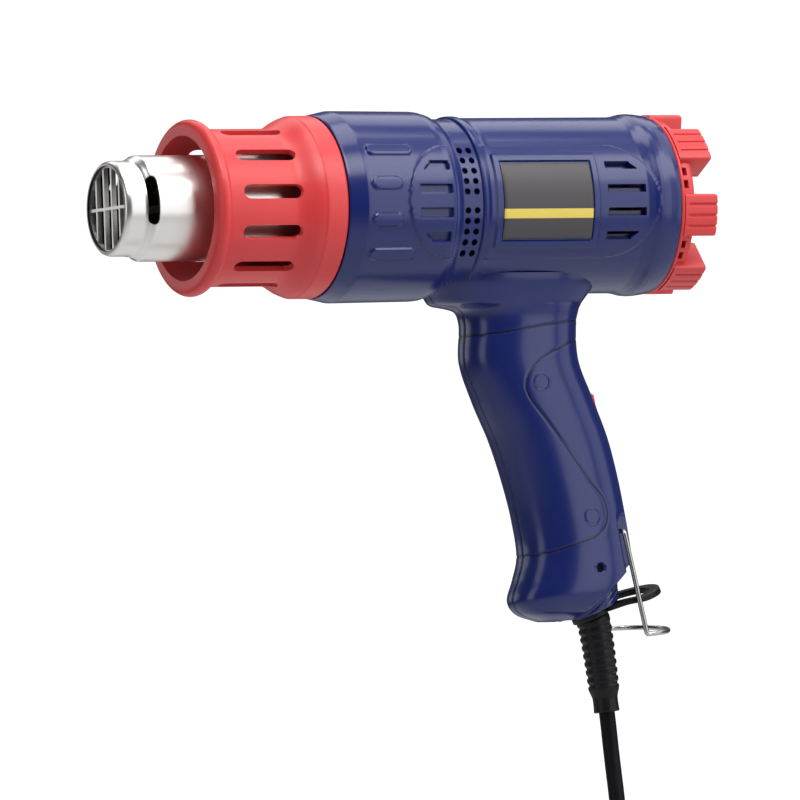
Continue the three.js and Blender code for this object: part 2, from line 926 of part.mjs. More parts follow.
function nozzleGrille() {
  const outerR = nozzleMouthR - nozzleWall - gap;
  const toX = grilleInset + grilleDepth;
  const rim = tubeAlongX(outerR, outerR - grilleRim, grilleInset, toX, roundGuard);
  const disc = rodAlongX(outerR - grilleRim / 2, grilleInset, toX, roundGuard);
  const half = grilleBar / 2;
  const bars = [block(grilleInset, toX, -outerR, outerR, -half, half)];
  for (let k = 0; k < grilleBars; k++) {
    const y = (k - (grilleBars - 1) / 2) * grillePitch;
    bars.push(block(grilleInset, toX, y - half, y + half, -outerR, outerR));
  }
  return rim.add(join(bars).intersect(disc));
}

function micaSleeve() {
  const outerR = nozzleTubeR - nozzleWall - gap;
  return tubeAlongX(outerR, outerR - sleeveThick, sleeveFrontX, sleeveFrontX + sleeveLength, roundSmall);
}

// A cross of two mica cards, wider at both ends where it meets the sleeve.
function heaterCore() {
  const seatR = nozzleTubeR - nozzleWall - gap - sleeveThick - gap;
  const cardR = coilR - coilWireR - gap;
  const half = coreArm / 2;
  const toX = coreFrontX + coreLength;
  const cards = [];
  for (const turn of [0, 90]) {
    const card = [
      block(coreFrontX, toX, -half, half, -cardR, cardR),
      block(coreFrontX, coreFrontX + coreEnd, -half, half, -seatR, seatR),
      block(toX - coreEnd, toX, -half, half, -seatR, seatR),
    ];
    cards.push(join(card).rotate([turn, 0, 0]));
  }
  return join(cards);
}

function heaterCoil() {
  const points = [];
  const steps = coilTurns * 8;
  const fromX = coreFrontX + coreEnd + 2;
  const length = coreLength - 2 * coreEnd - 4;
  for (let i = 0; i <= steps; i++) {
    const turn = (2 * Math.PI * i) / 8 + Math.PI / 8;
    const reach = coilR / Math.cos(Math.PI / 8);
    points.push(
      new THREE.Vector3(fromX + (length * i) / steps, reach * Math.cos(turn), reach * Math.sin(turn)),
    );
  }
  return tubeAlong(points, () => coilWireR, 5);
}

function thermalFuse() {
  const fromX = coreFrontX + coreLength + gap;
  return rodAlongX(fuseR, fromX, fromX + fuseLength, roundScrew).translate([0, 0, fuseZ]);
}

function airFunnel() {
  const mouthR = rearInnerR - gap;
  const fromX = nozzleLength + gap;
  const throatX = fromX + funnelThroatLength;
  return turned(
    [
      [funnelThroatR - funnelWall, fromX],
      [funnelThroatR, fromX],
      [funnelThroatR, throatX],
      [mouthR, funnelMouthX],
      [mouthR, fromX + funnelLength],
      [mouthR - funnelWall, fromX + funnelLength],
      [mouthR - funnelWall, funnelMouthX],
      [funnelThroatR - funnelWall, throatX],
    ],
    roundSmall,
  );
}

function motorHolder() {
  const ports = [];
  const portAt = (motorR + rearInnerR) / 2;
  const portR = (rearInnerR - motorR) / 2 - holderPortWall;
  for (let k = 0; k < holderPorts; k++) {
    const port = rodAlongX(portR, holderX - cutPast, holderX + holderThick + cutPast, roundScrew);
    ports.push(port.translate([0, 0, portAt]).rotate([(360 * k) / holderPorts, 0, 0]));
  }
  const ring = tubeAlongX(rearInnerR - gap, motorR + gap, holderX, holderX + holderThick, roundSmall);
  return ring.subtract(join(ports));
}

const motorRearX = motorFrontX + motorLength;

function motorCan() {
  return turned(
    [
      [bushR + gap, motorFrontX],
      [motorR, motorFrontX],
      [motorR, motorRearX],
      [motorR - motorWall, motorRearX],
      [motorR - motorWall, motorFrontX + motorWall],
      [bushR + gap, motorFrontX + motorWall],
    ],
    roundSmall,
  );
}

function motorEndBell() {
  return tubeAlongX(motorR, bushR + gap, motorRearX + gap, motorRearX + gap + bellThick, roundSmall);
}

function bush(fromX) {
  return tubeAlongX(bushR, shaftR + gap, fromX, fromX + bushLength, roundSmall / 2);
}

function motorArmature() {
  const rotorX = motorFrontX + (motorLength - rotorLength) / 2;
  const shaft = rodAlongX(shaftR, fanFrontX + shaftInset, motorRearX + bellThick + shaftTail, roundScrew);
  return shaft.add(rodAlongX(rotorR, rotorX, rotorX + rotorLength, roundSmall));
}

function fanImpeller() {
  const hub = tubeAlongX(fanHubR, shaftR + gap, fanFrontX, fanFrontX + fanLength, roundSmall);
  const chord = (fanLength - 2 * bladeInset) / Math.cos(fanPitch * degrees);
  const blades = [];
  for (let k = 0; k < fanBlades; k++) {
    const blade = block(-chord / 2, chord / 2, -bladeThick / 2, bladeThick / 2, fanHubR - bladeInset, fanR);
    blades.push(
      blade
        .rotate([0, 0, fanPitch])
        .translate([fanFrontX + fanLength / 2, 0, 0])
        .rotate([(360 * k) / fanBlades, 0, 0]),
    );
  }
  return hub.add(join(blades).intersect(rodAlongX(fanR, fanFrontX, fanFrontX + fanLength, roundSmall)));
}

// One crown block as a ring sector over the axis, with its rear edges bevelled, turned into place.
function crownBlock(turn, fromX) {
  const half = (blockArc / 2) * degrees;
  const trim = blockEdge / blockOuterR;
  const shape = new THREE.Shape();
  shape.absarc(0, 0, blockOuterR - blockEdge, -half + trim, half - trim);
  shape.absarc(0, 0, blockInnerR + blockEdge, half - trim, -half + trim, true);
  const options = {
    depth: blockLength - blockEdge,
    bevelThickness: blockEdge,
    bevelSize: blockEdge,
    bevelSegments: 1,
    curveSegments: 3,
  };
  const body = solid(new THREE.ExtrudeGeometry(shape, options).rotateY(Math.PI / 2));
  const floor = block(0, 2 * blockLength, -cutReach, cutReach, -cutReach, cutReach);
  const grooves = [];
  for (let k = 0; k < grooveCount; k++) {
    const lean = ((k + 1) / (grooveCount + 1) - 0.5) * blockArc;
    const floorR = blockOuterR - grooveDepth;
    const cut = block(grooveFrom, cutReach, -grooveWidth / 2, grooveWidth / 2, floorR, blockOuterR + cutPast);
    grooves.push(cut.rotate([lean, 0, 0]));
  }
  const sector = body.rotate([180, 0, 0]).intersect(floor);
  return sector.subtract(join(grooves)).rotate([turn, 0, 0]).translate([fromX, 0, 0]);
}

function rearCap() {
  const flangeFrom = barrelRearX + gap;
  const flangeTo = flangeFrom + capFlangeThick;
  const bandTo = flangeTo + capBandLength;
  const spigotR = rearInnerR - gap;
  const innerR = spigotR - capWall;
  const discFrom = bandTo - capWall;
  const cup = turned(
    [
      [innerR, barrelRearX - capSpigotLength],
      [spigotR, barrelRearX - capSpigotLength],
      [spigotR, flangeFrom],
      [capFlangeR, flangeFrom],
      [capFlangeR, flangeTo],
      [capBandR, flangeTo],
      [capBandR, bandTo],
      [0, bandTo],
      [0, discFrom],
      [innerR, discFrom],
      [innerR, barrelRearX - capSpigotLength],
    ],
    roundCap,
  );
  const blocks = [];
  const cuts = [];
  const step = 360 / blockCount;
  for (let k = 0; k < blockCount; k++) {
    const turn = 90 - blockAngle - k * step;
    const between = turn + step / 2;
    blocks.push(crownBlock(turn, flangeTo));
    for (const side of [-0.5, 0.5]) {
      const slot = block(flangeTo, discFrom, -intakeWidth / 2, intakeWidth / 2, innerR - cutPast, cutReach);
      cuts.push(slot.rotate([between + side * intakeStep, 0, 0]));
    }
    const half = discSlotWidth / 2;
    const slit = block(discFrom - cutPast, bandTo + cutPast, -half, half, discSlotInnerR, discSlotOuterR);
    cuts.push(slit.rotate([between, 0, 0]));
  }
  return cup.add(join(blocks)).subtract(join(cuts));
}

function labelPlate() {
  const fromR = rearLipR + gap;
  const shell = tubeAlongX(fromR + labelThick, fromR, frameFrontX, frameRearX, roundBarrel);
  return labelField(-1, gap).intersect(shell);
}

function switchBody() {
  const bezel = block(0, bezelThick, -bezelWide / 2, bezelWide / 2, -bezelLong / 2, bezelLong / 2);
  const halfWide = switchWide / 2;
  const halfLong = switchLong / 2;
  const body = block(-switchDeep, bezelThick / 2, -halfWide, halfWide, -halfLong, halfLong);
  const wellWide = rockerWide / 2 + gap;
  const wellLong = rockerR + gap;
  const well = block(-rockerWell, bezelThick + cutPast, -wellWide, wellWide, -wellLong, wellLong);
  return switchPlaced(bezel.add(body).subtract(well));
}

// A rocker whose ends are arcs round its pivot and whose top dips in the middle.
function switchRocker() {
  const shape = new THREE.Shape();
  const foot = -rockerFoot * degrees;
  const top = rockerTop * degrees;
  shape.absarc(0, 0, rockerR, Math.PI / 2 - top, Math.PI / 2 - foot);
  shape.absarc(0, 0, rockerR, -Math.PI / 2 + foot, -Math.PI / 2 + top);
  shape.lineTo(rockerDip, 0);
  const body = prism(shape, -rockerWide / 2, rockerWide / 2, 5);
  return switchPlaced(body.rotate([0, rockerRest, 0]).translate([-rockerPivot, 0, 0]));
}

// The bail's wire from one pin down its leg, round the hook and up to the other pin.
function bailRoute() {
  const tilt = bailLegTilt * degrees;
  const down = new THREE.Vector3(Math.sin(tilt), 0, -Math.cos(tilt));
  const back = new THREE.Vector3(Math.cos(tilt), 0, Math.sin(tilt));
  const pivot = new THREE.Vector3(bailPivotX, 0, bailPivotZ);
  const at = (y, along, out) => pivot.clone().addScaledVector(down, along).addScaledVector(back, out).setY(y);
  const points = [at(-ridgeHalf + bailPin - 1, 0, 0), at(-bailHalf + bailBend, 0, 0)];
  points.push(at(-bailHalf + 0.3 * bailBend, 0.3 * bailBend, 0), at(-bailHalf, bailBend, 0));
  const legEnd = bailLegLength - bailBend;
  points.push(at(-bailHalf, legEnd / 2, 0), at(-bailHalf, legEnd, 0));
  for (let k = 0; k <= 12; k++) {
    const turn = (Math.PI * k) / 12;
    const skew = bailSkew * (0.5 - 0.5 * Math.cos(turn));
    const y = -bailHalf * Math.cos(turn);
    points.push(at(y, bailLegLength - skew, bailBend + (bailHalf - bailBend) * Math.sin(turn)));
  }
  points.push(at(bailHalf, legEnd - bailSkew, 0), at(bailHalf, legEnd / 2, 0), at(bailHalf, bailBend, 0));
  points.push(at(bailHalf - 0.3 * bailBend, 0.3 * bailBend, 0), at(bailHalf - bailBend, 0, 0));
  points.push(at(ridgeHalf - bailPin + 1, 0, 0));
  return points;
}

function standBail() {
  return tubeAlong(bailRoute(), () => wireR, 6);
}

// A finger ring and a smaller eye round the strain relief's neck, in one flat piece.
function hangingLoop() {
  const disc = (radius, z) => rodAlongX(radius, gap, gap + loopThick, roundSmall).translate([0, 0, z]);
  const holeTo = loopThick + gap + cutPast;
  const hole = (radius, z) => rodAlongX(radius, -cutPast, holeTo, roundSmall).translate([0, 0, z]);
  const flat = disc(eyeOuterR, 0)
    .add(disc(loopOuterR, loopReach))
    .subtract(hole(loopInnerR, loopReach))
    .add(disc(eyeOuterR, 0).subtract(hole(loopInnerR, loopReach)))
    .subtract(hole(neckR + gap, 0));
  return alongExit(flat);
}

// A ribbed boot that bends from the slanting exit to straight down, with a neck in the collar.
function strainRelief() {
  const topDrop = loopThick + 2 * gap;
  const top = new THREE.Vector3(exitX, 0, exitZ).addScaledVector(axialDrop, topDrop);
  const tip = new THREE.Vector3(reliefEndX, 0, reliefEndZ);
  const lead = top.clone().addScaledVector(axialDrop, reliefLead);
  const tail = tip.clone().add(new THREE.Vector3(-reliefLean, 0, reliefTail));
  const bend = new THREE.CubicBezierCurve3(top, lead, tail, tip);
  const ribbedShare = 1 - reliefSleeve / (top.z - tip.z);
  const points = [];
  const radii = [];
  for (let k = 0; k <= 2 * reliefRibs; k++) {
    const share = (ribbedShare * k) / (2 * reliefRibs);
    points.push(bend.getPointAt(share));
    const radius = reliefTopR + ((reliefTipR - reliefTopR) * k) / (2 * reliefRibs);
    radii.push(k % 2 === 0 ? radius : radius - reliefRibDepth);
  }
  for (const share of [0.3, 1]) {
    points.push(bend.getPointAt(ribbedShare + (1 - ribbedShare) * share));
    radii.push(reliefSleeveR);
  }
  const boot = tubeAlong(points, (i) => radii[i], 8);
  const above = alongExit(rodAlongX(2 * reliefTopR, -collarDepth, topDrop, roundSmall));
  const neck = alongExit(rodAlongX(neckR, -collarDepth + neckBack, topDrop + cutPast, roundSmall / 2));
  return boot.subtract(above).add(neck).subtract(sweptTube(smoothCurve(cordTailRoute), cordR + gap, 8, 14));
}

function cordTail() {
  const route = smoothCurve(cordTailRoute);
  const points = [];
  for (let k = 3; k <= 14; k++) points.push(route.getPointAt(k / 14));
  return tubeAlong(points, () => cordR, 8);
}

function cordClamp() {
  const bar = block(
    clampX - clampHalf,
    clampX + clampHalf,
    -cordR - gap - clampThick,
    -cordR - gap,
    clampZ - clampHigh / 2,
    clampZ + clampHigh / 2,
  );
  return bar.subtract(join(clampScrewHoles()));
}

function clampScrewHoles() {
  const fromY = -cordR - clampThick - cutPast;
  return [-1, 1].map((side) =>
    rodAlongY(screwShankR + gap, clampX + side * clampScrewX, clampZ, fromY, screwReach, roundScrew),
  );
}

// A screw along y whose head's flat side rests a gap over its seat.
function screw(x, z, seatY, toY) {
  const head = rodAlongY(screwHeadR, x, z, seatY - gap - screwHeadThick, seatY - gap, roundScrew);
  return head.add(rodAlongY(screwShankR, x, z, seatY - gap - 0.1, toY, roundScrew));
}

function gripPlug([x, z]) {
  return rodAlongY(plugR, x, z, -plugFaceY, -plugFaceY + plugThick, 2 * roundScrew);
}

function controlBoard() {
  return block(boardFrontX, boardRearX, boardY, boardY + boardThick, boardBottomZ, boardTopZ);
}

// Leads from the cord to the switch and from the switch to the board
const switchLeadRoute = [
  [clampX, 0, cordTailTopZ + gap],
  [clampX + leadLean, 0, cordTailTopZ + leadRise],
  switchPoint(-switchDeep - 5, -3),
  switchPoint(-switchDeep - gap, -3),
];
const boardLeadRoute = [
  switchPoint(-switchDeep - gap, 4),
  switchPoint(-switchDeep - 5, 4),
  [182, 0.6, -84],
  [173.5, 2.4, -76],
  [170, boardY + boardThick / 2, boardBottomZ - 6],
  [170, boardY + boardThick / 2, boardBottomZ - gap],
];

// Ends of the hank
const hankStartX = hankX + hankFold + hankPitch * hankReverse;
const hankStartZ = hankTopZ - hankRun + 2 * cordR;
const hankEndX = hankX + hankFold + hankPitch * (hankTurns - hankReverse);
const hankEndY = hankLayerY + hankPitch;
const hankEndZ = hankTopZ - hankRun - 2 * cordR;

// The free stretch of cord: down from the strain relief, then in front of the hank to its start
const cordRoute = [
  [reliefEndX, 0, reliefEndZ - gap],
  [215.9, 0, -209.5],
  [216.3, -0.4, -217],
  [hankX, -1.8, -226],
  [hankX, -3.9, -237],
  [hankX, -5.4, -248],
  [hankX, leadInY, -258],
  [218, leadInY, -270],
  [222.2, leadInY, -282],
  [228.2, leadInY, -294],
  [235.2, leadInY, -306],
  [242, leadInY, -318],
  [248.2, -4.8, -329],
  [252.6, -1.6, -338.5],
  [hankStartX, 1.2, -346.5],
  [hankStartX, hankLayerY, hankStartZ + 2 * cordR],
  [hankStartX, hankLayerY, hankStartZ + gap],
];

// The hank's centre line: down the right, round the bottom fold, up the left and over the top.
// The loops spiral in over one layer, climb along a run and spiral out over the next.
function hankPoint(turns) {
  const radius = hankFold + hankPitch * Math.abs(turns - hankReverse);
  const climb = Math.min(Math.max((turns - hankReverse) / hankClimb + 0.5, 0), 1);
  const y = hankLayerY + hankPitch * climb * climb * (3 - 2 * climb);
  const quarter = (turns - Math.floor(turns)) * 4;
  const share = quarter - Math.floor(quarter);
  const waist = hankDraw * Math.pow(Math.sin(Math.PI * share), 2);
  const swing = Math.PI * share;
  const across = radius * Math.cos(swing);
  const along = radius * Math.sin(swing);
  const low = hankTopZ - hankRun;
  const leg = Math.floor(quarter);
  if (leg === 0) return new THREE.Vector3(hankX + across, y, low - along);
  if (leg === 1) return new THREE.Vector3(hankX - radius + waist, y, low + hankRun * share);
  if (leg === 2) return new THREE.Vector3(hankX - across, y, hankTopZ + along);
  return new THREE.Vector3(hankX + radius - waist, y, hankTopZ - hankRun * share);
}

function hankRoute(steps) {
  const points = [];
  for (let i = 0; i < hankTurns * steps; i++) points.push(hankPoint(i / steps));
  const start = new THREE.Vector3(hankStartX, hankLayerY, hankStartZ);
  const last = new THREE.Vector3(hankEndX, hankEndY, hankEndZ + 2 * cordR);
  return [start, ...points, last, new THREE.Vector3(hankEndX, hankEndY, hankEndZ)];
}

// The least gap of the wound cord to itself, measured on a finer run of points.
function leastHankGap() {
  const points = hankRoute(4 * hankSteps);
  const reach = 3 * hankSteps;
  let least = Infinity;
  points.forEach((point, i) => {
    for (let j = i + reach; j < points.length; j++) {
      least = Math.min(least, point.distanceTo(points[j]));
    }
  });
  return least - 2 * cordR;
}

function routeLength(points) {
  return points.slice(1).reduce((sum, point, i) => sum + point.distanceTo(points[i]), 0);
}

// A band round all the runs at the hank's waist.
function hankTie() {
  const reach = hankFold - hankDraw + cordR + gap;
  const left = hankX - reach - hankPitch * hankReverse;
  const right = hankX + reach + hankPitch * (hankTurns - hankReverse) + 2;
  const near = leadInY - cordR - gap - 0.6;
  const far = hankEndY + cordR + gap;
  const z = hankTopZ - hankRun / 2;
  const half = tieHigh / 2;
  const hoop = block(left - tieThick, right + tieThick, near - tieThick, far + tieThick, z - half, z + half);
  return hoop.subtract(block(left, right, near, far, z - tieHigh, z + tieHigh));
}

// Plug: a sleeve round the cord that opens into a flat oval body.
function plugBody() {
  const topZ = hankEndZ - gap;
  const stations = [
    [0, plugSleeveR, plugSleeveR],
    [plugSleeveLength, plugSleeveR + 1.4, plugSleeveR + 1.4],
    [plugSleeveLength + 5, 0.82 * plugHalfX, 0.6 * plugHalfY],
    [plugSleeveLength + 12, plugHalfX, 0.92 * plugHalfY],
    [plugSleeveLength + 20, plugHalfX, plugHalfY],
    [plugSleeveLength + plugLong - 2, plugHalfX, plugHalfY],
    [plugSleeveLength + plugLong, plugHalfX - 1.5, plugHalfY - 1.5],
  ];
  const rings = stations.map(([drop, halfX, halfY]) => {
    const ring = [];
    for (let k = 0; k < 16; k++) {
      const turn = (2 * Math.PI * k) / 16;
      ring.push(
        new THREE.Vector3(hankEndX + halfX * Math.cos(turn), hankEndY + halfY * Math.sin(turn), topZ - drop),
      );
    }
    return ring;
  });
  return skinned(rings);
}

function plugPin(side) {
  const topZ = hankEndZ - 2 * gap - plugSleeveLength - plugLong;
  const pin = rodAlongX(pinR, 0, pinLength, roundScrew).rotate([0, 90, 0]);
  return pin.translate([hankEndX, hankEndY + (side * pinSpread) / 2, topZ]);
}

const bluePlastic = { color: 0x2b3270, roughness: 0.32, metalness: 0 };
const redPlastic = { color: 0xd8393c, roughness: 0.48, metalness: 0 };
const brightSteel = { color: 0xd9d4d0, roughness: 0.2, metalness: 1 };
const dullSteel = { color: 0x8d8984, roughness: 0.45, metalness: 1 };
const blackRubber = { color: 0x17171a, roughness: 0.62, metalness: 0 };
const mica = { color: 0xc9b48a, roughness: 0.6, metalness: 0 };
const resistanceWire = { color: 0x7d7066, roughness: 0.5, metalness: 1 };
const blackPlastic = { color: 0x1c1c1f, roughness: 0.45, metalness: 0 };
const labelGrey = { color: 0x54505a, roughness: 0.4, metalness: 0 };
const bronze = { color: 0xa47b45, roughness: 0.5, metalness: 1 };
const brass = { color: 0xc9a24e, roughness: 0.3, metalness: 1 };
const boardGreen = { color: 0x2d6a3c, roughness: 0.5, metalness: 0 };

const tool = new THREE.Group();
tool.position.set(-gripSetback, 0, gripDrop);

function addPiece(name, body, finish) {
  const mesh = new THREE.Mesh(geometryOf(body), new THREE.MeshStandardMaterial(finish));
  mesh.name = name;
  tool.add(mesh);
}

addPiece("housing_left", housingHalf(-1), bluePlastic);
addPiece("housing_right", housingHalf(1), bluePlastic);
addPiece("heat_guard", heatGuard(), redPlastic);
addPiece("rear_cap", rearCap(), redPlastic);
addPiece("nozzle_tube", nozzleTube(), brightSteel);
addPiece("nozzle_grille", nozzleGrille(), dullSteel);
addPiece("mica_sleeve", micaSleeve(), mica);
addPiece("heater_core", heaterCore(), mica);
addPiece("heater_coil", heaterCoil(), resistanceWire);
addPiece("thermal_fuse", thermalFuse(), dullSteel);
addPiece("air_funnel", airFunnel(), blackPlastic);
addPiece("motor_holder", motorHolder(), blackPlastic);
addPiece("motor_can", motorCan(), dullSteel);
addPiece("motor_end_bell", motorEndBell(), blackPlastic);
addPiece("front_bush", bush(motorFrontX), bronze);
addPiece("rear_bush", bush(motorRearX + gap), bronze);
addPiece("motor_armature", motorArmature(), dullSteel);
addPiece("fan_impeller", fanImpeller(), blackPlastic);
addPiece("label_plate", labelPlate(), labelGrey);
addPiece("switch_body", switchBody(), blackPlastic);
addPiece("switch_rocker", switchRocker(), redPlastic);
addPiece("stand_bail", standBail(), brightSteel);
addPiece("hanging_loop", hangingLoop(), blackRubber);
addPiece("strain_relief", strainRelief(), blackRubber);
addPiece("cord_tail", cordTail(), blackRubber);
addPiece("cord_clamp", cordClamp(), blackPlastic);
[-1, 1].forEach((side, i) => {
  const seatY = -cordR - gap - clampThick;
  const body = screw(clampX + side * clampScrewX, clampZ, seatY, screwReach - 1);
  addPiece(`clamp_screw_${i + 1}`, body, dullSteel);
});
screwPlaces.forEach(([x, z], i) => {
  addPiece(`housing_screw_${i + 1}`, screw(x, z, -screwSeatY, screwReach), dullSteel);
});
screwPlaces.slice(0, 2).forEach((place, i) => {
  addPiece(`grip_plug_${i + 1}`, gripPlug(place), bluePlastic);
});
addPiece("control_board", controlBoard(), boardGreen);
addPiece("inner_lead_1", sweptTube(smoothCurve(switchLeadRoute), leadR, 6, 8), brass);
addPiece("inner_lead_2", sweptTube(smoothCurve(boardLeadRoute), leadR, 6, 10), brass);
addPiece("power_cord", sweptTube(smoothCurve(cordRoute), cordR, 8, 16), blackRubber);
addPiece("power_cord_hank", tubeAlong(hankRoute(hankSteps), () => cordR, 6), blackRubber);
addPiece("hank_tie", hankTie(), blackPlastic);
addPiece("plug_body", plugBody(), blackRubber);
[-1, 1].forEach((side, i) => addPiece(`plug_pin_${i + 1}`, plugPin(side), brass));

const woundLength = routeLength(hankRoute(4 * hankSteps)) + smoothCurve(cordRoute).getLength();
console.log(`cord from the strain relief to the plug ${woundLength.toFixed(0)} mm`);
console.log(`least gap of the hank to itself ${leastHankGap().toFixed(2)} mm`);

const hotAirTool = new THREE.Group();
hotAirTool.add(tool);

export default hotAirTool;
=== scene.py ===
"""Looks of a pistol-grip hot air tool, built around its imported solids.

Shapes are worked out in the tool frame, in millimetres: x runs back along the barrel from the
nozzle's mouth, y to the tool's right, z up from the barrel's axis. The part's own frame, in
metres, has its origin at the hand's place on the grip.
"""

import math

import bmesh
import bpy
import numpy as np
from bpy.props import FloatProperty, FloatVectorProperty, IntProperty, PointerProperty
from bpy.types import Operator, Panel, PropertyGroup
from mathutils import Matrix, Vector


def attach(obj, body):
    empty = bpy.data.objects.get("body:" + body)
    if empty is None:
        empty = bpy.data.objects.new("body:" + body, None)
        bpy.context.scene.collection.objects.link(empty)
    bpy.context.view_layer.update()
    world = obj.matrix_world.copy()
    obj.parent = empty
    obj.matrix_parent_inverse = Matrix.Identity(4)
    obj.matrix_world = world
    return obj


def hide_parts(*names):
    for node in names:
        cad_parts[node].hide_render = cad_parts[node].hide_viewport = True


bl_info = {
    "name": "Hot air tool looks",
    "version": (1, 0, 0),
    "blender": (4, 5, 0),
    "location": "3D View > Sidebar > Hot air tool",
    "description": "Moulded housing, heat guard, nozzle, bail and cord of a hot air tool",
    "category": "Object",
}

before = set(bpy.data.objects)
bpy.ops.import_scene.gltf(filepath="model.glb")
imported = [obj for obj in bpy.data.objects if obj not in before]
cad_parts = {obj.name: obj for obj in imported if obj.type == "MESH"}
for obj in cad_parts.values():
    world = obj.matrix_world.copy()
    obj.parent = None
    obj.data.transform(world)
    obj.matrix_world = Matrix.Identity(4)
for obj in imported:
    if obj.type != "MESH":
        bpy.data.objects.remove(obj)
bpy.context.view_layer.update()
MM = 0.001
GRIP_AT = np.array((193.0, 0.0, -94.0))


# Arrays and meshes

MERGE, TINY, APART, FAR = 1e-6, 1e-9, 1e-4, 1e9
PUSH_AWAY = 0.4
BEND_MOST = 0.45


def to_part(points):
    """Tool-frame millimetres as metres in the part's own frame."""
    return (np.asarray(points, dtype=float) - GRIP_AT) * MM


def tool_points(mesh):
    """Coordinates x, y and z of a mesh's vertices in the tool frame."""
    points = np.empty(3 * len(mesh.vertices))
    mesh.vertices.foreach_get("co", points)
    return (points.reshape(-1, 3) / MM + GRIP_AT).T


def smooth(low, high, value):
    """Smoothstep: 0 below low, 1 above high, 3t^2 - 2t^3 between."""
    t = np.clip((np.asarray(value, dtype=float) - low) / (high - low), 0.0, 1.0)
    return t * t * (3.0 - 2.0 * t)


def fall(low, high, value):
    """Smoothstep the other way: 1 below low, 0 above high."""
    return 1 - smooth(low, high, value)


def within(distance, soft):
    """1 inside an outline and 0 outside, by a smoothstep on its signed distance."""
    return fall(-soft, soft, distance)


def full_turn(steps):
    """Angles evenly round a full turn."""
    return 2.0 * np.pi * np.arange(steps) / steps


def nearest_turn(angle, middle):
    """Signed angle from a middle, between half a turn either way."""
    return (angle - middle + np.pi) % (2 * np.pi) - np.pi


def mean_turn(angles):
    """Mean direction of the angles in each row."""
    return np.angle(np.exp(1j * angles).mean(axis=1))


def signed_power(value, power):
    """The sign of a value times its size to a power."""
    return np.sign(value) * np.abs(value) ** power


def circle_drop(radius, off):
    """How far a circle has fallen at a distance off its top: r - sqrt(r^2 - d^2)."""
    return radius - np.sqrt(np.maximum(radius**2 - np.clip(off, 0, radius) ** 2, 0))


def leaning(degrees):
    """Unit vectors down and back in the side view, leaning backwards by an angle."""
    sine, cosine = math.sin(math.radians(degrees)), math.cos(math.radians(degrees))
    return np.array((sine, 0.0, -cosine)), np.array((cosine, 0.0, sine))


def around(x, radius, angle, side=-1):
    """A grid of points round the barrel's axis: y = side r cos a, z = r sin a."""
    x, radius, angle = np.broadcast_arrays(x, radius, angle)
    return np.stack([x, side * radius * np.cos(angle), radius * np.sin(angle)], axis=-1)


def grid_quads(rows, columns, wrap_rows=False, wrap_columns=False):
    """Corner numbers of the quads of a grid whose points are counted row by row."""
    i = np.arange(rows if wrap_rows else rows - 1)
    j = np.arange(columns if wrap_columns else columns - 1)
    i, j = (grid.ravel() for grid in crossed(i, j))
    here, below, right = i * columns, (i + 1) % rows * columns, (j + 1) % columns
    return np.stack([here + j, here + right, below + right, below + j], axis=1)


def crossed(rows, columns):
    """Two grids, of the value that each row has and of the value that each column has."""
    return np.meshgrid(rows, columns, indexing="ij")


def walled(outer, inner, quads=None):
    """A skin with thickness between two grids of points: the outer quads, the same quads on the inner points
    turned round, and a wall along each edge that only one quad uses."""
    if quads is None:
        quads = grid_quads(*outer.shape[:2])
    outer, inner = outer.reshape(-1, 3), inner.reshape(-1, 3)
    count = len(outer)
    edges = np.concatenate([quads[:, [k, (k + 1) % 4]] for k in range(4)])
    keys = np.sort(edges, axis=1)
    _, first, times = np.unique(keys, axis=0, return_index=True, return_counts=True)
    rim = edges[first[times == 1]]
    walls = np.stack([rim[:, 1], rim[:, 0], rim[:, 0] + count, rim[:, 1] + count], axis=1)
    return np.concatenate([outer, inner]), np.concatenate([quads, quads[:, ::-1] + count, walls])


def face_rows(faces):
    return faces.tolist() if isinstance(faces, np.ndarray) else faces


def mesh_piece(name, points, faces, crease):
    """A mesh object from tool-frame points and faces, shaded smooth up to a crease angle."""
    mesh = bpy.data.meshes.new(name)
    mesh.from_pydata(to_part(points).tolist(), [], face_rows(faces))
    shape = bmesh.new()
    shape.from_mesh(mesh)
    bmesh.ops.remove_doubles(shape, verts=shape.verts, dist=MERGE)
    loose = [vert for vert in shape.verts if not vert.link_faces]
    bmesh.ops.delete(shape, geom=loose, context="VERTS")
    bmesh.ops.recalc_face_normals(shape, faces=shape.faces)
    shape.to_mesh(mesh)
    shape.free()
    mesh.polygons.foreach_set("use_smooth", np.ones(len(mesh.polygons), dtype=bool))
    mesh.set_sharp_from_angle(angle=math.radians(crease))
    return place_piece(name, mesh)


def place_piece(name, data):
    """An object at the origin for a mesh, light or camera, linked into the scene."""
    piece = bpy.data.objects.new(name, data)
    bpy.context.scene.collection.objects.link(piece)
    return piece


def joined(parts):
    """Several (points, faces) pairs as one pair."""
    points, faces, start = [], [], 0
    for some_points, some_faces in parts:
        points.append(some_points)
        faces += [[start + corner for corner in face] for face in face_rows(some_faces)]
        start += len(some_points)
    return np.concatenate(points), faces


def corner_bends(before, corners, after, radius, most, steps):
    """A Bezier bend at each corner, between the points one radius away on its two sides, or at most so large
    a share of a side."""
    ends = []
    for other in (before, after):
        reach = other - corners
        size = np.linalg.norm(reach, axis=1, keepdims=True)
        ends.append((corners + reach / size * np.minimum(radius, most * size))[:, None])
    t = np.linspace(0.0, 1.0, steps + 1)[None, :, None]
    bend = (1 - t) ** 2 * ends[0] + 2 * t * (1 - t) * corners[:, None] + t**2 * ends[1]
    return bend.reshape(-1, corners.shape[1])


def rounded_box(left, right, near, far, radius, steps):
    """A closed rectangular outline with rounded corners."""
    corners = np.array([(left, near), (right, near), (right, far), (left, far)], dtype=float)
    return corner_bends(np.roll(corners, 1, axis=0), corners, np.roll(corners, -1, axis=0), radius, BEND_MOST, steps)


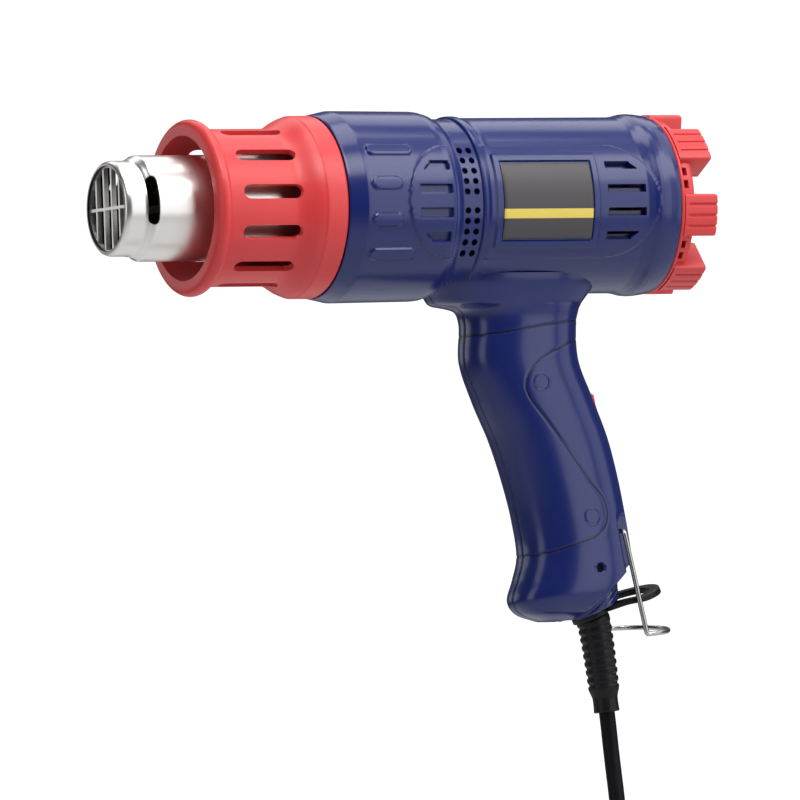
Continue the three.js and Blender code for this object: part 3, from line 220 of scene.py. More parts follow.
def spline(knots, steps):
    """A centripetal Catmull-Rom curve through the knots, with so many points a stretch."""
    knots = np.asarray(knots, dtype=float)
    ends = np.concatenate([[2 * knots[0] - knots[1]], knots, [2 * knots[-1] - knots[-2]]])
    p0, p1, p2, p3 = ends[:-3, None], ends[1:-2, None], ends[2:-1, None], ends[3:, None]
    gap = lambda a, b: np.sqrt(np.linalg.norm(b - a, axis=2, keepdims=True)) + TINY
    t1 = gap(p0, p1)
    t2 = t1 + gap(p1, p2)
    t3 = t2 + gap(p2, p3)
    t = t1 + (t2 - t1) * np.linspace(0.0, 1.0, steps, endpoint=False)[None, :, None]
    a1 = (t1 - t) / t1 * p0 + t / t1 * p1
    a2 = (t2 - t) / (t2 - t1) * p1 + (t - t1) / (t2 - t1) * p2
    a3 = (t3 - t) / (t3 - t2) * p2 + (t - t2) / (t3 - t2) * p3
    b1 = (t2 - t) / t2 * a1 + t / t2 * a2
    b2 = (t3 - t) / (t3 - t1) * a2 + (t - t1) / (t3 - t1) * a3
    curve = (t2 - t) / (t2 - t1) * b1 + (t - t1) / (t2 - t1) * b2
    return np.concatenate([curve.reshape(-1, knots.shape[1]), knots[-1:]])


def carried_frames(path):
    """Unit vectors across a path, turned as little as possible from point to point."""
    along = np.gradient(path, axis=0)
    along /= np.linalg.norm(along, axis=1, keepdims=True)
    across = np.zeros_like(path)
    pick = np.eye(3)[np.argmin(np.abs(along[0]))]
    for k, step in enumerate(along):
        pick = pick - step * pick.dot(step)
        pick /= np.linalg.norm(pick)
        across[k] = pick
    return across, np.cross(along, across)


def lofted(loops):
    """Closed loops with as many points each, skinned in order and capped at both ends."""
    loops = np.asarray(loops, dtype=float)
    count = loops.shape[1]
    faces = grid_quads(len(loops), count, wrap_columns=True).tolist()
    faces.append(list(range(count))[::-1])
    faces.append(list(range((len(loops) - 1) * count, len(loops) * count)))
    return loops.reshape(-1, 3), faces


def ringed(loops):
    """Closed loops skinned in order, and the last one to the first."""
    return loops.reshape(-1, 3), grid_quads(*loops.shape[:2], wrap_rows=True, wrap_columns=True)


def tube_loops(path, radius, sides):
    """Round loops across a path: c + r (u cos a + v sin a), with a radius for each point or each loop."""
    across, up = carried_frames(path)
    angle = full_turn(sides)[None, :, None]
    ring = across[:, None] * np.cos(angle) + up[:, None] * np.sin(angle)
    return path[:, None] + radius * ring


def swept(path, radius, sides):
    """A round tube along a path with a radius at each point, capped at both ends."""
    return lofted(tube_loops(path, np.broadcast_to(radius, len(path))[:, None, None], sides))


def spaced(low, high, step, exact=()):
    """Grid lines about a step apart, with some exact ones that push away lines closer than a share of a step."""
    exact = np.unique(np.round(np.asarray(exact, dtype=float), 6))
    exact = exact[(exact > low) & (exact < high)]
    lines = np.linspace(low, high, int(round((high - low) / step)) + 1)
    if len(exact):
        near = np.abs(lines[:, None] - exact[None]).min(axis=1) < PUSH_AWAY * step
        near[[0, -1]] = False
        lines = np.concatenate([lines[~near], exact])
    return np.sort(lines)


# Materials

FLOW_SCALE, FLOW_DETAIL, GRAIN_DETAIL, DRAWN_DETAIL = 34.0, 4.0, 2.0, 3.0
DRAWN_STRETCH = (1.0, 0.02, 0.02)
MOULDED_DEPTH, DRAWN_DEPTH, GROOVE_DEPTH = 0.0002, 0.0001, 0.0004
COAT_ROUGHNESS = 0.12
# Painted shade: the near-black colour given to the nozzle's inner wall.
PAINTED_TUBE_SHADE = (0.02, 0.019, 0.018)
PAPER, PAPER_FADE = (0.86, 0.86, 0.86), (0.6, 2.0)
# Groove lines: GROOVE_SHADE is the share of the colour left in each line as painted shade.
GROOVE_SPAN, GROOVE_HELD, GROOVE_EDGE, GROOVE_SHADE = 8.0, 3.0, (0.15, 0.36), 0.12


def add_node(tree, kind, inputs=None, **settings):
    """A shader node with its settings, and for each given input a value or a link from a socket."""
    node = tree.nodes.new(f"ShaderNode{kind}")
    for key, value in settings.items():
        setattr(node, key, value)
    for key, value in (inputs or {}).items():
        feed(tree, node.inputs[key], value)
    return node


def feed(tree, socket, value):
    """Links a socket to another one, or sets its value."""
    if isinstance(value, bpy.types.NodeSocket):
        tree.links.new(value, socket)
    else:
        socket.default_value = value


def math_node(tree, operation, *inputs):
    """The result of a math node on values or sockets."""
    return add_node(tree, "Math", dict(enumerate(inputs)), operation=operation).outputs[0]


def fade_node(tree, value, low, high, to_low=0.0, to_high=1.0):
    """A smoothstep from one result at a low value to another at a high one."""
    inputs = {"Value": value, "From Min": low, "From Max": high, "To Min": to_low, "To Max": to_high}
    return add_node(tree, "MapRange", inputs, interpolation_type="SMOOTHSTEP").outputs["Result"]


def mix_node(tree, share, first, second):
    """Two colours mixed by a share."""
    return add_node(tree, "Mix", {0: share, 6: first, 7: second}, data_type="RGBA").outputs[2]


def object_place(tree):
    return add_node(tree, "TexCoord").outputs["Object"]


def shader_of(material):
    """A material's node tree and the inputs of its shader."""
    return material.node_tree, material.node_tree.nodes["Principled BSDF"].inputs


def effect_group(name, inputs, outputs):
    """A node group, its input sockets by name and default, and its output sockets, floats apart from Color."""
    group = bpy.data.node_groups.new(name, "ShaderNodeTree")
    kind = lambda key: "NodeSocketColor" if key == "Color" else "NodeSocketFloat"
    for key, value in inputs.items():
        group.interface.new_socket(key, in_out="INPUT", socket_type=kind(key)).default_value = value
    for key in outputs:
        group.interface.new_socket(key, in_out="OUTPUT", socket_type=kind(key))
    return group, group.nodes.new("NodeGroupInput").outputs, group.nodes.new("NodeGroupOutput").inputs


def uneven_roughness(group, given, noise):
    """The noise about its middle, and the given roughness with so much of it added."""
    centred = math_node(group, "SUBTRACT", noise, 0.5)
    return centred, math_node(group, "MULTIPLY_ADD", centred, given["Unevenness"], given["Roughness"])


def moulding_group(name):
    """Moulded surface: two noises at the scale of flow marks and of fine grain, as colour shade,
    roughness and bump height."""
    inputs = {"Color": (0.5, 0.5, 0.5, 1), "Shade": 0.1, "Roughness": 0.4, "Unevenness": 0.1, "Grain Scale": 900.0}
    group, given, result = effect_group(name, inputs, ("Color", "Roughness", "Height"))
    place = object_place(group)
    flow = add_node(group, "TexNoise", {"Vector": place, "Scale": FLOW_SCALE, "Detail": FLOW_DETAIL})
    grain = add_node(group, "TexNoise", {"Vector": place, "Scale": given["Grain Scale"], "Detail": GRAIN_DETAIL})
    centred, rough = uneven_roughness(group, given, flow.outputs["Fac"])
    shade = math_node(group, "MULTIPLY_ADD", centred, given["Shade"], 1.0)
    tint = add_node(group, "VectorMath", {0: given["Color"], "Scale": shade}, operation="SCALE")
    feed(group, result["Color"], tint.outputs[0])
    feed(group, result["Roughness"], rough)
    feed(group, result["Height"], grain.outputs["Fac"])
    return group


def drawn_group(name):
    """Turned or drawn metal: noise stretched round the barrel's axis, as roughness and bump height."""
    inputs = {"Roughness": 0.2, "Unevenness": 0.1, "Fineness": 2600.0}
    group, given, result = effect_group(name, inputs, ("Roughness", "Height"))
    stretch = add_node(group, "Mapping", {"Vector": object_place(group), "Scale": DRAWN_STRETCH}).outputs["Vector"]
    lines = add_node(group, "TexNoise", {"Vector": stretch, "Scale": given["Fineness"], "Detail": DRAWN_DETAIL})
    feed(group, result["Roughness"], uneven_roughness(group, given, lines.outputs["Fac"])[1])
    feed(group, result["Height"], lines.outputs["Fac"])
    return group


def surfaced(name, group_name, make_group, values, bump, depth):
    """A material whose roughness and bump come from a shared group, with the group's other results."""
    material = bpy.data.materials.new(name)
    material.use_nodes = True
    tree, shader = shader_of(material)
    group = bpy.data.node_groups.get(group_name) or make_group(group_name)
    surface = add_node(tree, "Group", values, node_tree=group).outputs
    relief = add_node(tree, "Bump", {"Strength": bump, "Distance": depth, "Height": surface["Height"]})
    feed(tree, shader["Roughness"], surface["Roughness"])
    feed(tree, shader["Normal"], relief.outputs["Normal"])
    return material, surface


def moulded(name, color, roughness, shade=0.12, unevenness=0.12, grain=900.0, bump=0.05, coat=0.0, specular=0.5):
    """Plastic or rubber from the shared moulding group."""
    values = {"Color": (*color, 1.0), "Shade": shade, "Roughness": roughness}
    values.update({"Unevenness": unevenness, "Grain Scale": grain})
    material, surface = surfaced(name, "moulded_surface", moulding_group, values, bump, MOULDED_DEPTH)
    tree, shader = shader_of(material)
    feed(tree, shader["Base Color"], surface["Color"])
    feed(tree, shader["Coat Weight"], coat)
    feed(tree, shader["Coat Roughness"], COAT_ROUGHNESS)
    feed(tree, shader["Specular IOR Level"], specular)
    return material


def metal(name, color, roughness, unevenness=0.1, fineness=2600.0, bump=0.04):
    """Metal from the shared drawn-metal group."""
    values = {"Roughness": roughness, "Unevenness": unevenness, "Fineness": fineness}
    material, _ = surfaced(name, "drawn_metal", drawn_group, values, bump, DRAWN_DEPTH)
    tree, shader = shader_of(material)
    feed(tree, shader["Base Color"], (*color, 1.0))
    feed(tree, shader["Metallic"], 1.0)
    return material


def tube_shaded_metal(name, color, roughness):
    """Nozzle steel with painted shade inside: near black where the stored mark is 1, which is the tube's inner wall.
    """
    material = metal(name, color, roughness, 0.1, 2200.0, 0.03)
    tree, shader = shader_of(material)
    # Painted shade: the tube's inner wall mixed to near black by the stored mark.
    stored = add_node(tree, "Attribute", attribute_name="soot").outputs["Fac"]
    feed(tree, shader["Base Color"], mix_node(tree, stored, (*color, 1.0), (*PAINTED_TUBE_SHADE, 1.0)))
    return material


def paper_material(name):
    """Pale studio paper that fades out with the distance from the middle, so that it has no far edge."""
    material = moulded(name, PAPER, 0.85, 0.03, 0.05, 60.0, 0.02)
    tree, shader = shader_of(material)
    reach = add_node(tree, "VectorMath", {0: object_place(tree)}, operation="LENGTH").outputs["Value"]
    feed(tree, shader["Alpha"], fade_node(tree, reach, *PAPER_FADE, 1.0, 0.0))
    return material


def label_material(name, color, stripe, top, bottom):
    """Dark printed plate with one plain stripe between two heights."""
    material = moulded(name, color, 0.38, grain=2400.0, bump=0.03)
    tree, shader = shader_of(material)
    height = add_node(tree, "SeparateXYZ", {0: object_place(tree)}).outputs["Z"]
    over = math_node(tree, "GREATER_THAN", height, bottom)
    under = math_node(tree, "LESS_THAN", height, top)
    plain = shader["Base Color"].links[0].from_socket
    striped = mix_node(tree, math_node(tree, "MULTIPLY", over, under), plain, (*stripe, 1.0))
    feed(tree, shader["Base Color"], striped)
    return material


def grooved(name, color, roughness):
    """Housing plastic with the grip's groove lines and seam: painted shade darkens the colour, and a bump sinks the
    surface, within a third of a millimetre of any line, by the stored distances."""
    material = moulded(name, color, roughness, 0.1, 0.08, 700.0, 0.04, coat=0.25)
    tree, shader = shader_of(material)
    stored = add_node(tree, "Attribute", attribute_name="groove").outputs["Vector"]
    split = add_node(tree, "SeparateXYZ", {0: stored}).outputs
    away = [math_node(tree, "ABSOLUTE", math_node(tree, "SUBTRACT", split[axis], 0.5)) for axis in "XYZ"]
    nearest = math_node(tree, "MINIMUM", math_node(tree, "MINIMUM", away[0], away[1]), away[2])
    clear = fade_node(tree, nearest, *(edge / GROOVE_SPAN for edge in GROOVE_EDGE))
    # Painted shade in the grooves and the seam: the colour darkened to a share of itself.
    dark = (*(GROOVE_SHADE * c for c in color), 1.0)
    plain = shader["Base Color"].links[0].from_socket
    feed(tree, shader["Base Color"], mix_node(tree, clear, dark, plain))
    sunk = add_node(tree, "Bump", {"Strength": 0.9, "Distance": GROOVE_DEPTH, "Height": clear})
    feed(tree, shader["Normal"].links[0].from_node.inputs["Normal"], sunk.outputs["Normal"])
    return material


def finish_material(key):
    """The material for one finish, made the first time it is asked for."""
    name = f"{key}_finish"
    made = bpy.data.materials.get(name)
    if made:
        return made
    look = bpy.context.scene.hot_air_finishes
    rgb, top = lambda tint: tuple(getattr(look, tint)), look.stripe_top
    recipes = {
        "blue_plastic": (grooved, rgb("blue"), look.blue_roughness),
        "red_plastic": (moulded, rgb("red"), look.red_roughness, 0.12, 0.12, 1500.0, 0.16),
        "nozzle_steel": (tube_shaded_metal, rgb("steel"), 0.3),
        "grille_steel": (metal, (0.82, 0.81, 0.8), 0.4, 0.15, 1800.0, 0.06),
        "dark_steel": (metal, (0.012, 0.012, 0.013), 0.55, 0.2, 1800.0, 0.1),
        "dull_steel": (metal, rgb("dull_steel"), 0.42, 0.2, 1800.0, 0.1),
        "wire_steel": (metal, (0.5, 0.5, 0.51), 0.24, 0.12, 3200.0, 0.03),
        "black_rubber": (moulded, rgb("black"), 0.4, 0.3, 0.16, 1900.0, 0.2, 0.0, 0.3),
        "cord_rubber": (moulded, rgb("black"), 0.46, 0.25, 0.14, 2600.0, 0.12, 0.0, 0.14),
        "black_plastic": (moulded, (0.018, 0.018, 0.02), 0.42, 0.2, 0.12, 1600.0, 0.14),
        # Mica far darker than its own colour: painted shade for the heater seen through the grille's gaps.
        "mica": (moulded, (0.03, 0.026, 0.022), 0.7, 0.5, 0.2, 420.0, 0.25),
        "resistance_wire": (metal, (0.26, 0.22, 0.19), 0.5, 0.2, 1500.0, 0.15),
        "bronze": (metal, (0.42, 0.28, 0.12), 0.5, 0.2, 1200.0, 0.2),
        "brass": (metal, (0.65, 0.46, 0.17), 0.25, 0.15, 2400.0, 0.06),
        "board_green": (moulded, (0.02, 0.16, 0.05), 0.4, 0.4, 0.1, 500.0, 0.1),
        "label_grey": (label_material, rgb("label"), rgb("stripe"), top, top - look.stripe_height),
    }
    make, *values = recipes[key]
    return make(name, *values)


def dress(piece, material, body, nodes=()):
    """Puts a material on a piece, sets it on its body and hides the solids it stands for."""
    piece.data.materials.clear()
    piece.data.materials.append(finish_material(material))
    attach(piece, body)
    if nodes:
        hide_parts(*nodes)
    return piece


def add_piece(name, shape, finish, nodes=(), body="tool", crease=32.0):
    """A dressed piece from its points and faces."""
    return dress(mesh_piece(name, *shape, crease), finish, body, nodes)


# Sizes and colours that a user would change


def length(name, description, millimetres):
    return FloatProperty(name=name, description=description, default=millimetres * MM, unit="LENGTH", precision=4)


def tally(name, description, default, low, high):
    return IntProperty(name=name, description=description, default=default, min=low, max=high)


def fraction(name, description, default):
    return FloatProperty(name=name, description=description, default=default, min=0, max=1)


def tone(name, description, color):
    limits = {"size": 3, "min": 0, "max": 1}
    return FloatVectorProperty(name=name, description=description, default=color, subtype="COLOR", **limits)


class HotAirHousing(PropertyGroup):
    """Sizes of the two moulded halves."""

    wall: length("Wall", "Thickness of the moulded wall", 2.5)
    split: length("Split", "Gap between the two halves", 0.02)
    seam: length("Seam", "Depth of the rounded edge along the split", 0.3)
    pad_rise: length("Pad rise", "Height of the pads on the front of the barrel", 0.9)
    panel_rise: length("Panel rise", "Height of the rear panel", 0.8)
    frame_rise: length("Frame rise", "Height of the frame round the label", 0.9)
    groove: length("Groove", "Depth of the grooves in the grip", 0.22)
    groove_width: length("Groove width", "Half width of the grooves in the grip", 0.5)


class HotAirFront(PropertyGroup):
    """Sizes of the nozzle and the heat guard."""

    nozzle_mouth: length("Mouth radius", "Outer radius of the nozzle's mouth", 19.1)
    nozzle_tube: length("Tube radius", "Outer radius of the nozzle behind its step", 21.2)
    nozzle_wall: length("Nozzle wall", "Thickness of the nozzle's sheet", 0.8)
    guard_tube: length("Guard radius", "Outer radius of the guard's slotted tube", 31.5)
    guard_bead: length("Bead radius", "Outer radius of the guard's front bead", 35.4)
    guard_flange: length("Flange radius", "Outer radius of the guard's rear flange", 36.6)
    guard_wall: length("Guard wall", "Thickness of the guard", 2.5)
    guard_slots: tally("Slots", "Slots round the guard", 12, 4, 24)
    slot_width: length("Slot width", "Width of a guard slot", 5.8)


class HotAirRear(PropertyGroup):
    """Sizes of the rear cap."""

    blocks: tally("Blocks", "Crown blocks round the cap", 7, 3, 12)
    block_arc: FloatProperty(
        name="Block arc", description="Angle that one block covers", default=math.radians(28), unit="ROTATION"
    )
    block_outer: length("Block outside", "Outer radius of the blocks", 36.2)
    block_inner: length("Block inside", "Inner radius of the blocks", 21.0)
    block_length: length("Block length", "How far the blocks stand out", 14.6)


class HotAirCord(PropertyGroup):
    """Sizes of the cord, its strain relief and the bail's wire."""

    radius: length("Cord radius", "Radius of the mains cord", 3.25)
    wire: length("Wire radius", "Radius of the bail's wire", 1.0)
    ribs: tally("Ribs", "Ribs along the strain relief", 8, 4, 30)


class HotAirFinishes(PropertyGroup):
    """Colours and roughnesses of the finishes."""

    blue: tone("Blue", "Colour of the housing", (0.0072, 0.0175, 0.134))
    blue_roughness: fraction("Blue roughness", "Roughness of the housing", 0.26)
    red: tone("Red", "Colour of the guard, cap and switch", (0.7, 0.056, 0.06))
    red_roughness: fraction("Red roughness", "Roughness of the red pieces", 0.36)
    steel: tone("Steel", "Colour of the nozzle", (0.8, 0.78, 0.76))
    dull_steel: tone("Dull steel", "Colour of the motor and the clamp's screws", (0.36, 0.35, 0.34))
    black: tone("Black", "Colour of the rubber pieces", (0.006, 0.006, 0.008))
    label: tone("Label", "Colour of the label plate", (0.07, 0.065, 0.07))
    stripe: tone("Stripe", "Colour of the label's stripe", (0.78, 0.62, 0.12))
    stripe_top: length("Stripe top", "Height of the stripe's top edge over the grip's middle", 90.6)
    stripe_height: length("Stripe height", "Height of the stripe", 3.8)


# Housing, barrel

BARREL_STRETCHES = (("front", 90.3, 142.3, 0.48), ("waist", 142.3, 150.4, 0.5), ("rear", 150.4, 239.0, 0.52))
# x and radius
BARREL_PROFILE = np.array([
    (90.3, 36.7), (90.6, 36.9), (97.0, 38.25), (97.8, 38.42), (98.8, 38.46), (133.5, 38.06), (136.0, 37.8),
    (139.0, 36.9), (141.2, 35.6), (142.0, 35.05), (142.6, 35.0), (150.3, 35.0), (150.7, 35.6), (151.0, 36.0),
    (151.6, 36.1), (153.6, 36.1), (155.6, 35.5), (157.0, 35.4), (224.0, 35.4), (227.0, 35.85), (229.5, 36.5),
    (231.5, 36.65), (234.0, 36.5), (237.0, 36.1), (239.0, 35.6),
])
BARREL_RADIUS, FRONT_RADIUS, REAR_RADIUS, VENT_RADIUS = 35.0, 38.2, 35.6, 36.2
SEAM_LINES, SEAM_REACH = (0.25, 0.6), 0.6
HOLE_ROWS = np.concatenate([3.8 + 4.2 * np.arange(5), -3.8 - 4.2 * np.arange(5)])
HOLE_COLUMNS = (143.7, 147.8)
HOLES = [(column, row) for column in HOLE_COLUMNS for row in HOLE_ROWS]
HOLE_RADIUS, HOLE_CELL = 1.3, 2.05
VENT_ROWS = (-14.1, -4.7, 4.7, 14.1)
OUTER_ROW = 10.0
# Each vent: front end, rear end, height, slant of the outer rows
REAR_VENT = (206.0, 223.0, 3.2, 6.0)
FRONT_VENT = (121.0, 135.0, 3.5, 6.0)
VENT_DEPTH, VENT_SETBACK, VENT_EDGES = 1.9, 3.0, (-0.2, 0.2)
VENT_LEAN, VENT_FADE, VENT_FADE_UP = 3.2, (0.3, 4.5), 3.0
HOLE_SHARES = np.array([-1, -0.5, 0, 0.5, 1])
# Angle and rear end of each pad
PADS = ((-33, 120.5), (-11, 113.3), (11, 113.3), (33, 120.5))
PAD_FROM, PAD_HALF = 100.0, 2.5
ARCH_AT, ARCH_REACH, ARCH_HALF, ARCH_FOOT = 137.0, 21.0, 22.5, 137.6
PANEL_START, PANEL_AT, PANEL_REACH, PANEL_HALF = (152.0, 156.0), 207.0, 22.0, 22.5
FRAME_BOX, FIELD_BOX, FIELD_DEPTH = (156.0, 202.0, 18.3), (158.8, 199.2, 15.5), 0.1
SOFT, CRISP = 0.3, 0.25
# Grid lines along x and heights that the relief needs exactly
RELIEF_LINES = [120.9, 121.1, 134.9, 135.1, 137.5, 137.8, 156.0, 156.3, 158.5, 158.8, 199.2, 199.5, 201.7, 202.0]
PANEL_LINES = (15.35, 15.65, 18.15, 18.45, 22.35, 22.65)
BAR_PLACES = np.array((-0.75, -0.68, -0.3, 0.1, 0.18, 0.2))
BAR_DROPS = np.array((0.3, 0.0, 0.0, 0.0, 0.1, 0.4))
BAR_RADIUS, BAR_THICK, BAR_FROM, BAR_PAST = 35.9, 1.4, 1.6, 1.5


def box_distance(x, z, low, high, half):
    """Signed distance to a rectangle from low to high along x, half high each way in z."""
    dx = np.abs(x - (low + high) / 2) - (high - low) / 2
    dz = np.abs(z) - half
    outside = np.hypot(np.maximum(dx, 0), np.maximum(dz, 0))
    return outside + np.minimum(np.maximum(dx, dz), 0)


def barrel_relief(x, angle, sizes):
    """Height of the moulded relief over the barrel: smoothstep edges on the distance to each outline,
    in x and in the height z = r sin(angle) or the arc from a pad's own angle."""
    z = FRONT_RADIUS * np.sin(angle)
    pads = (np.hypot((x - ARCH_AT) / ARCH_REACH, z / ARCH_HALF) - 1) * ARCH_REACH
    pads = np.where(x > ARCH_AT, np.maximum(pads, x - ARCH_FOOT), pads)
    for degrees, toward in PADS:
        arc = FRONT_RADIUS * (angle - math.radians(degrees))
        beyond = np.abs(x - (PAD_FROM + toward) / 2) - (toward - PAD_FROM - 2 * PAD_HALF) / 2
        pads = np.minimum(pads, np.hypot(np.maximum(beyond, 0), arc) - PAD_HALF)
    rise = sizes.pad_rise / MM * within(pads, SOFT)
    low, high, tall, slant = FRONT_VENT
    for row in VENT_ROWS:
        start = low
        if abs(row) > OUTER_ROW:
            lean = smooth(-tall / 2, tall / 2, (z - row) * np.sign(row))
            start = low + (VENT_SETBACK + slant / 2 * lean)
        pocket = np.maximum(np.maximum(start - x, x - high), np.abs(z - row) - tall / 2)
        rise -= VENT_DEPTH * within(pocket, CRISP)
    z = REAR_RADIUS * np.sin(angle)
    panel = np.where(
        x > PANEL_AT,
        (np.hypot((x - PANEL_AT) / PANEL_REACH, z / PANEL_HALF) - 1) * PANEL_REACH,
        np.abs(z) - PANEL_HALF,
    )
    rise += sizes.panel_rise / MM * smooth(*PANEL_START, x) * within(panel, SOFT)
    field = within(box_distance(x, z, *FIELD_BOX), CRISP)
    rise += sizes.frame_rise / MM * within(box_distance(x, z, *FRAME_BOX), CRISP) * (1 - field)
    return rise - FIELD_DEPTH * field


def hole_place(row):
    """Angle of a row of perforations, and the height that one radian covers there."""
    middle = math.asin(row / BARREL_RADIUS)
    return middle, BARREL_RADIUS * math.cos(middle)


def warp_to_holes(x, angle):
    """Pulls the grid's squares round each perforation onto a circle: a point at square distance d goes to
    round distance d inside the hole and back to its own place at the edge of the hole's cell."""
    new_x, new_angle = x.copy(), angle.copy()
    for column, row in HOLES:
        middle, scale = hole_place(row)
        cell = HOLE_CELL / scale
        a, b = (x - column) / HOLE_CELL, (angle - middle) / cell
        square = np.maximum(np.abs(a), np.abs(b))
        round_ = np.hypot(a, b) + TINY
        keep = fall(HOLE_RADIUS / HOLE_CELL, 1.0, square)
        pull = np.where(square < 1.0, (square / round_ - 1) * keep, 0.0)
        new_x += a * pull * HOLE_CELL
        new_angle += b * pull * cell
    return new_x, new_angle


def barrel_lines(low_x, high_x):
    """Lines that the grid of a stretch of barrel keeps exactly: along x and in the angle from the side."""
    xs, angles, sides = [*BARREL_PROFILE[:, 0], *RELIEF_LINES], [], (-1, 1)
    if low_x < FRONT_VENT[0] < high_x:
        edges = [s * (FRONT_VENT[2] / 2 + e) for s in sides for e in VENT_EDGES]
        angles += [math.asin((row + edge) / FRONT_RADIUS) for row in VENT_ROWS for edge in edges]
    if low_x < HOLE_COLUMNS[0] < high_x:
        offsets = HOLE_SHARES * HOLE_RADIUS
        xs += [column + o for column in HOLE_COLUMNS for o in offsets]
        for row in HOLE_ROWS:
            middle, scale = hole_place(row)
            angles += [middle + o / scale for o in offsets]
    low, high, tall, slant = REAR_VENT
    if low_x < low < high_x:
        xs += [low, high - slant, high]
        angles += [math.asin((row + s * tall / 2) / VENT_RADIUS) for row in VENT_ROWS for s in sides]
        angles += [math.asin(s * z / REAR_RADIUS) for s in sides for z in PANEL_LINES]
    return xs, angles


def barrel_stretch(side, sizes, low_x, high_x, step):
    """A stretch of half the barrel: a grid over x and the angle from the side, radius from the profile plus the
    relief, left open at the vents and perforations and walled inwards."""
    low, high, tall, slant = REAR_VENT
    end = math.acos(sizes.split / MM / 2 / BARREL_RADIUS)
    edge = [way * (end - e / BARREL_RADIUS) for way in (-1, 1) for e in SEAM_LINES]
    exact_x, exact_angle = barrel_lines(low_x, high_x)
    xs = spaced(low_x, high_x, step, exact_x)
    angles = spaced(-end, end, step / BARREL_RADIUS, exact_angle + edge)
    x, angle = crossed(xs, angles)
    quads = grid_quads(len(xs), len(angles))
    mid_x, mid_angle = (grid.ravel()[quads].mean(axis=1) for grid in (x, angle))
    mid_z = VENT_RADIUS * np.sin(mid_angle)
    open_ = np.zeros(len(quads), dtype=bool)
    for row in VENT_ROWS:
        rear = high if abs(row) < OUTER_ROW else high - slant
        open_ |= (mid_x > low) & (mid_x < rear) & (np.abs(mid_z - row) < tall / 2)
    for column, row in HOLES:
        middle, scale = hole_place(row)
        open_ |= (np.abs(mid_x - column) < HOLE_RADIUS) & (np.abs(mid_angle - middle) < HOLE_RADIUS / scale)
    x, angle = warp_to_holes(x, angle)
    z = VENT_RADIUS * np.sin(angle)
    for row in (VENT_ROWS[0], VENT_ROWS[-1]):
        inward = smooth(-tall / 2, tall / 2, (row - z) * np.sign(row))
        near = fall(*VENT_FADE, np.abs(x - (high - slant)))
        near = near * fall(tall / 2, tall / 2 + VENT_FADE_UP, np.abs(z - row))
        x = x + VENT_LEAN * inward * near
    base = np.interp(x, BARREL_PROFILE[:, 0], BARREL_PROFILE[:, 1])
    seam = (end - np.abs(angle)) * BARREL_RADIUS
    outer = base + barrel_relief(x, angle, sizes) - sizes.seam / MM * fall(0.0, SEAM_REACH, seam)
    inner = base - sizes.wall / MM
    return walled(around(x, outer, angle, side), around(x, inner, angle, side), quads[~open_])


def vent_bars(side, sizes):
    """Bars behind the rear vents: strips of a cylinder set in the wall's inner face, over the lower part of each
    slot and clear of its front end."""
    low, high, tall, slant = REAR_VENT
    outside = BAR_RADIUS - sizes.wall / MM
    bars = []
    for row in VENT_ROWS:
        rear = high if abs(row) < OUTER_ROW else high - 0.5 * slant
        along = np.linspace(low + BAR_FROM, rear + BAR_PAST, 12)
        x, angle = crossed(along, np.arcsin((row + tall * BAR_PLACES) / outside))
        outer, inner = (around(x, outside - drop, angle, side) for drop in (BAR_DROPS, BAR_THICK))
        bars.append(walled(outer, inner))
    return joined(bars)


# Housing, grip

# Height, front edge, rear edge and half width
GRIP_STATIONS = np.array([
    (-24, 138, 215, 23), (-31, 139, 214, 22), (-36, 142, 210.5, 20.6), (-39.3, 144.5, 207.8, 19.5),
    (-40.6, 151, 206.9, 19.1), (-42.3, 156, 206, 18.6), (-47, 157.6, 204.9, 17.8), (-62, 156.9, 205.2, 17.4),
    (-78, 162.1, 211, 17.8), (-94, 169.1, 217, 18), (-110, 174.3, 221, 17.8), (-126, 178.2, 223.9, 17.6),
    (-141, 180, 226, 17.8), (-150, 177.6, 227, 18), (-158, 174.8, 224, 17.2), (-163.5, 177.5, 216, 14),
    (-167, 186, 204, 7.5),
])
GRIP_POWER = 2.6
GRIP_TOP, GRIP_FOOT, GRIP_LAP, GRIP_NECK = -28.0, -167.0, 2.2, 22.0
GRIP_GRID, GRIP_FOOT_ROWS, GRIP_FOOT_STEP = (270, 130), 6, 0.004
GRIP_SEAM = 1.4
# Place and radius of each screw's mouth, and the pockets' depths
SCREWS = ((182.5, -71.7, 3.0), (203.2, -126.0, 3.0), (206.0, -146.5, 1.9))
POCKETS = (1.2, 1.2, 5.0)
POCKET_SOFT, POCKET_FROM = 0.6, 6.0
TOP_GROOVE = ((148, -52.2), (160, -52), (166, -51.6), (172.8, -50.6), (188, -48.6), (207, -46))
SIDE_GROOVE = (
    (208, -51.8), (203.2, -54.1), (197.2, -55.9), (189, -59.2), (181.8, -62.8), (177.5, -67.5), (175.6, -72.7),
    (177.1, -77.9), (184.4, -87.4), (193, -99), (201.6, -110.6), (208.3, -118.3), (210.3, -124.3),
    (209, -129.8), (204.9, -133.8), (194.7, -137.2), (184.6, -140.1), (177.7, -141.2), (170, -141.6),
)
ACROSS, UP = np.array((0.0, 1.0, 0.0)), np.array((0.0, 0.0, 1.0))
EXIT = np.array((209.0, 0.0, -163.0))
EXIT_DOWN, EXIT_BACK = leaning(24)
BAIL_PIVOT = np.array((217.9, 0.0, -131.7))
BAIL_DOWN, BAIL_BACK = leaning(10.3)
NOTCH_HALF, NOTCH_DEPTH, NOTCH_FADE, NOTCH_WALL = 11.5, 2.2, (-9.0, -1.0), 1.5
NOTCH_GRIP, NOTCH_EDGE = 17.7, 0.012
CUT_AT, CUT_OUT = np.array((222.8, 0.0, -144.6)), np.array((0.6645, 0.0, -0.7473))
PATCH_SIDES = 56


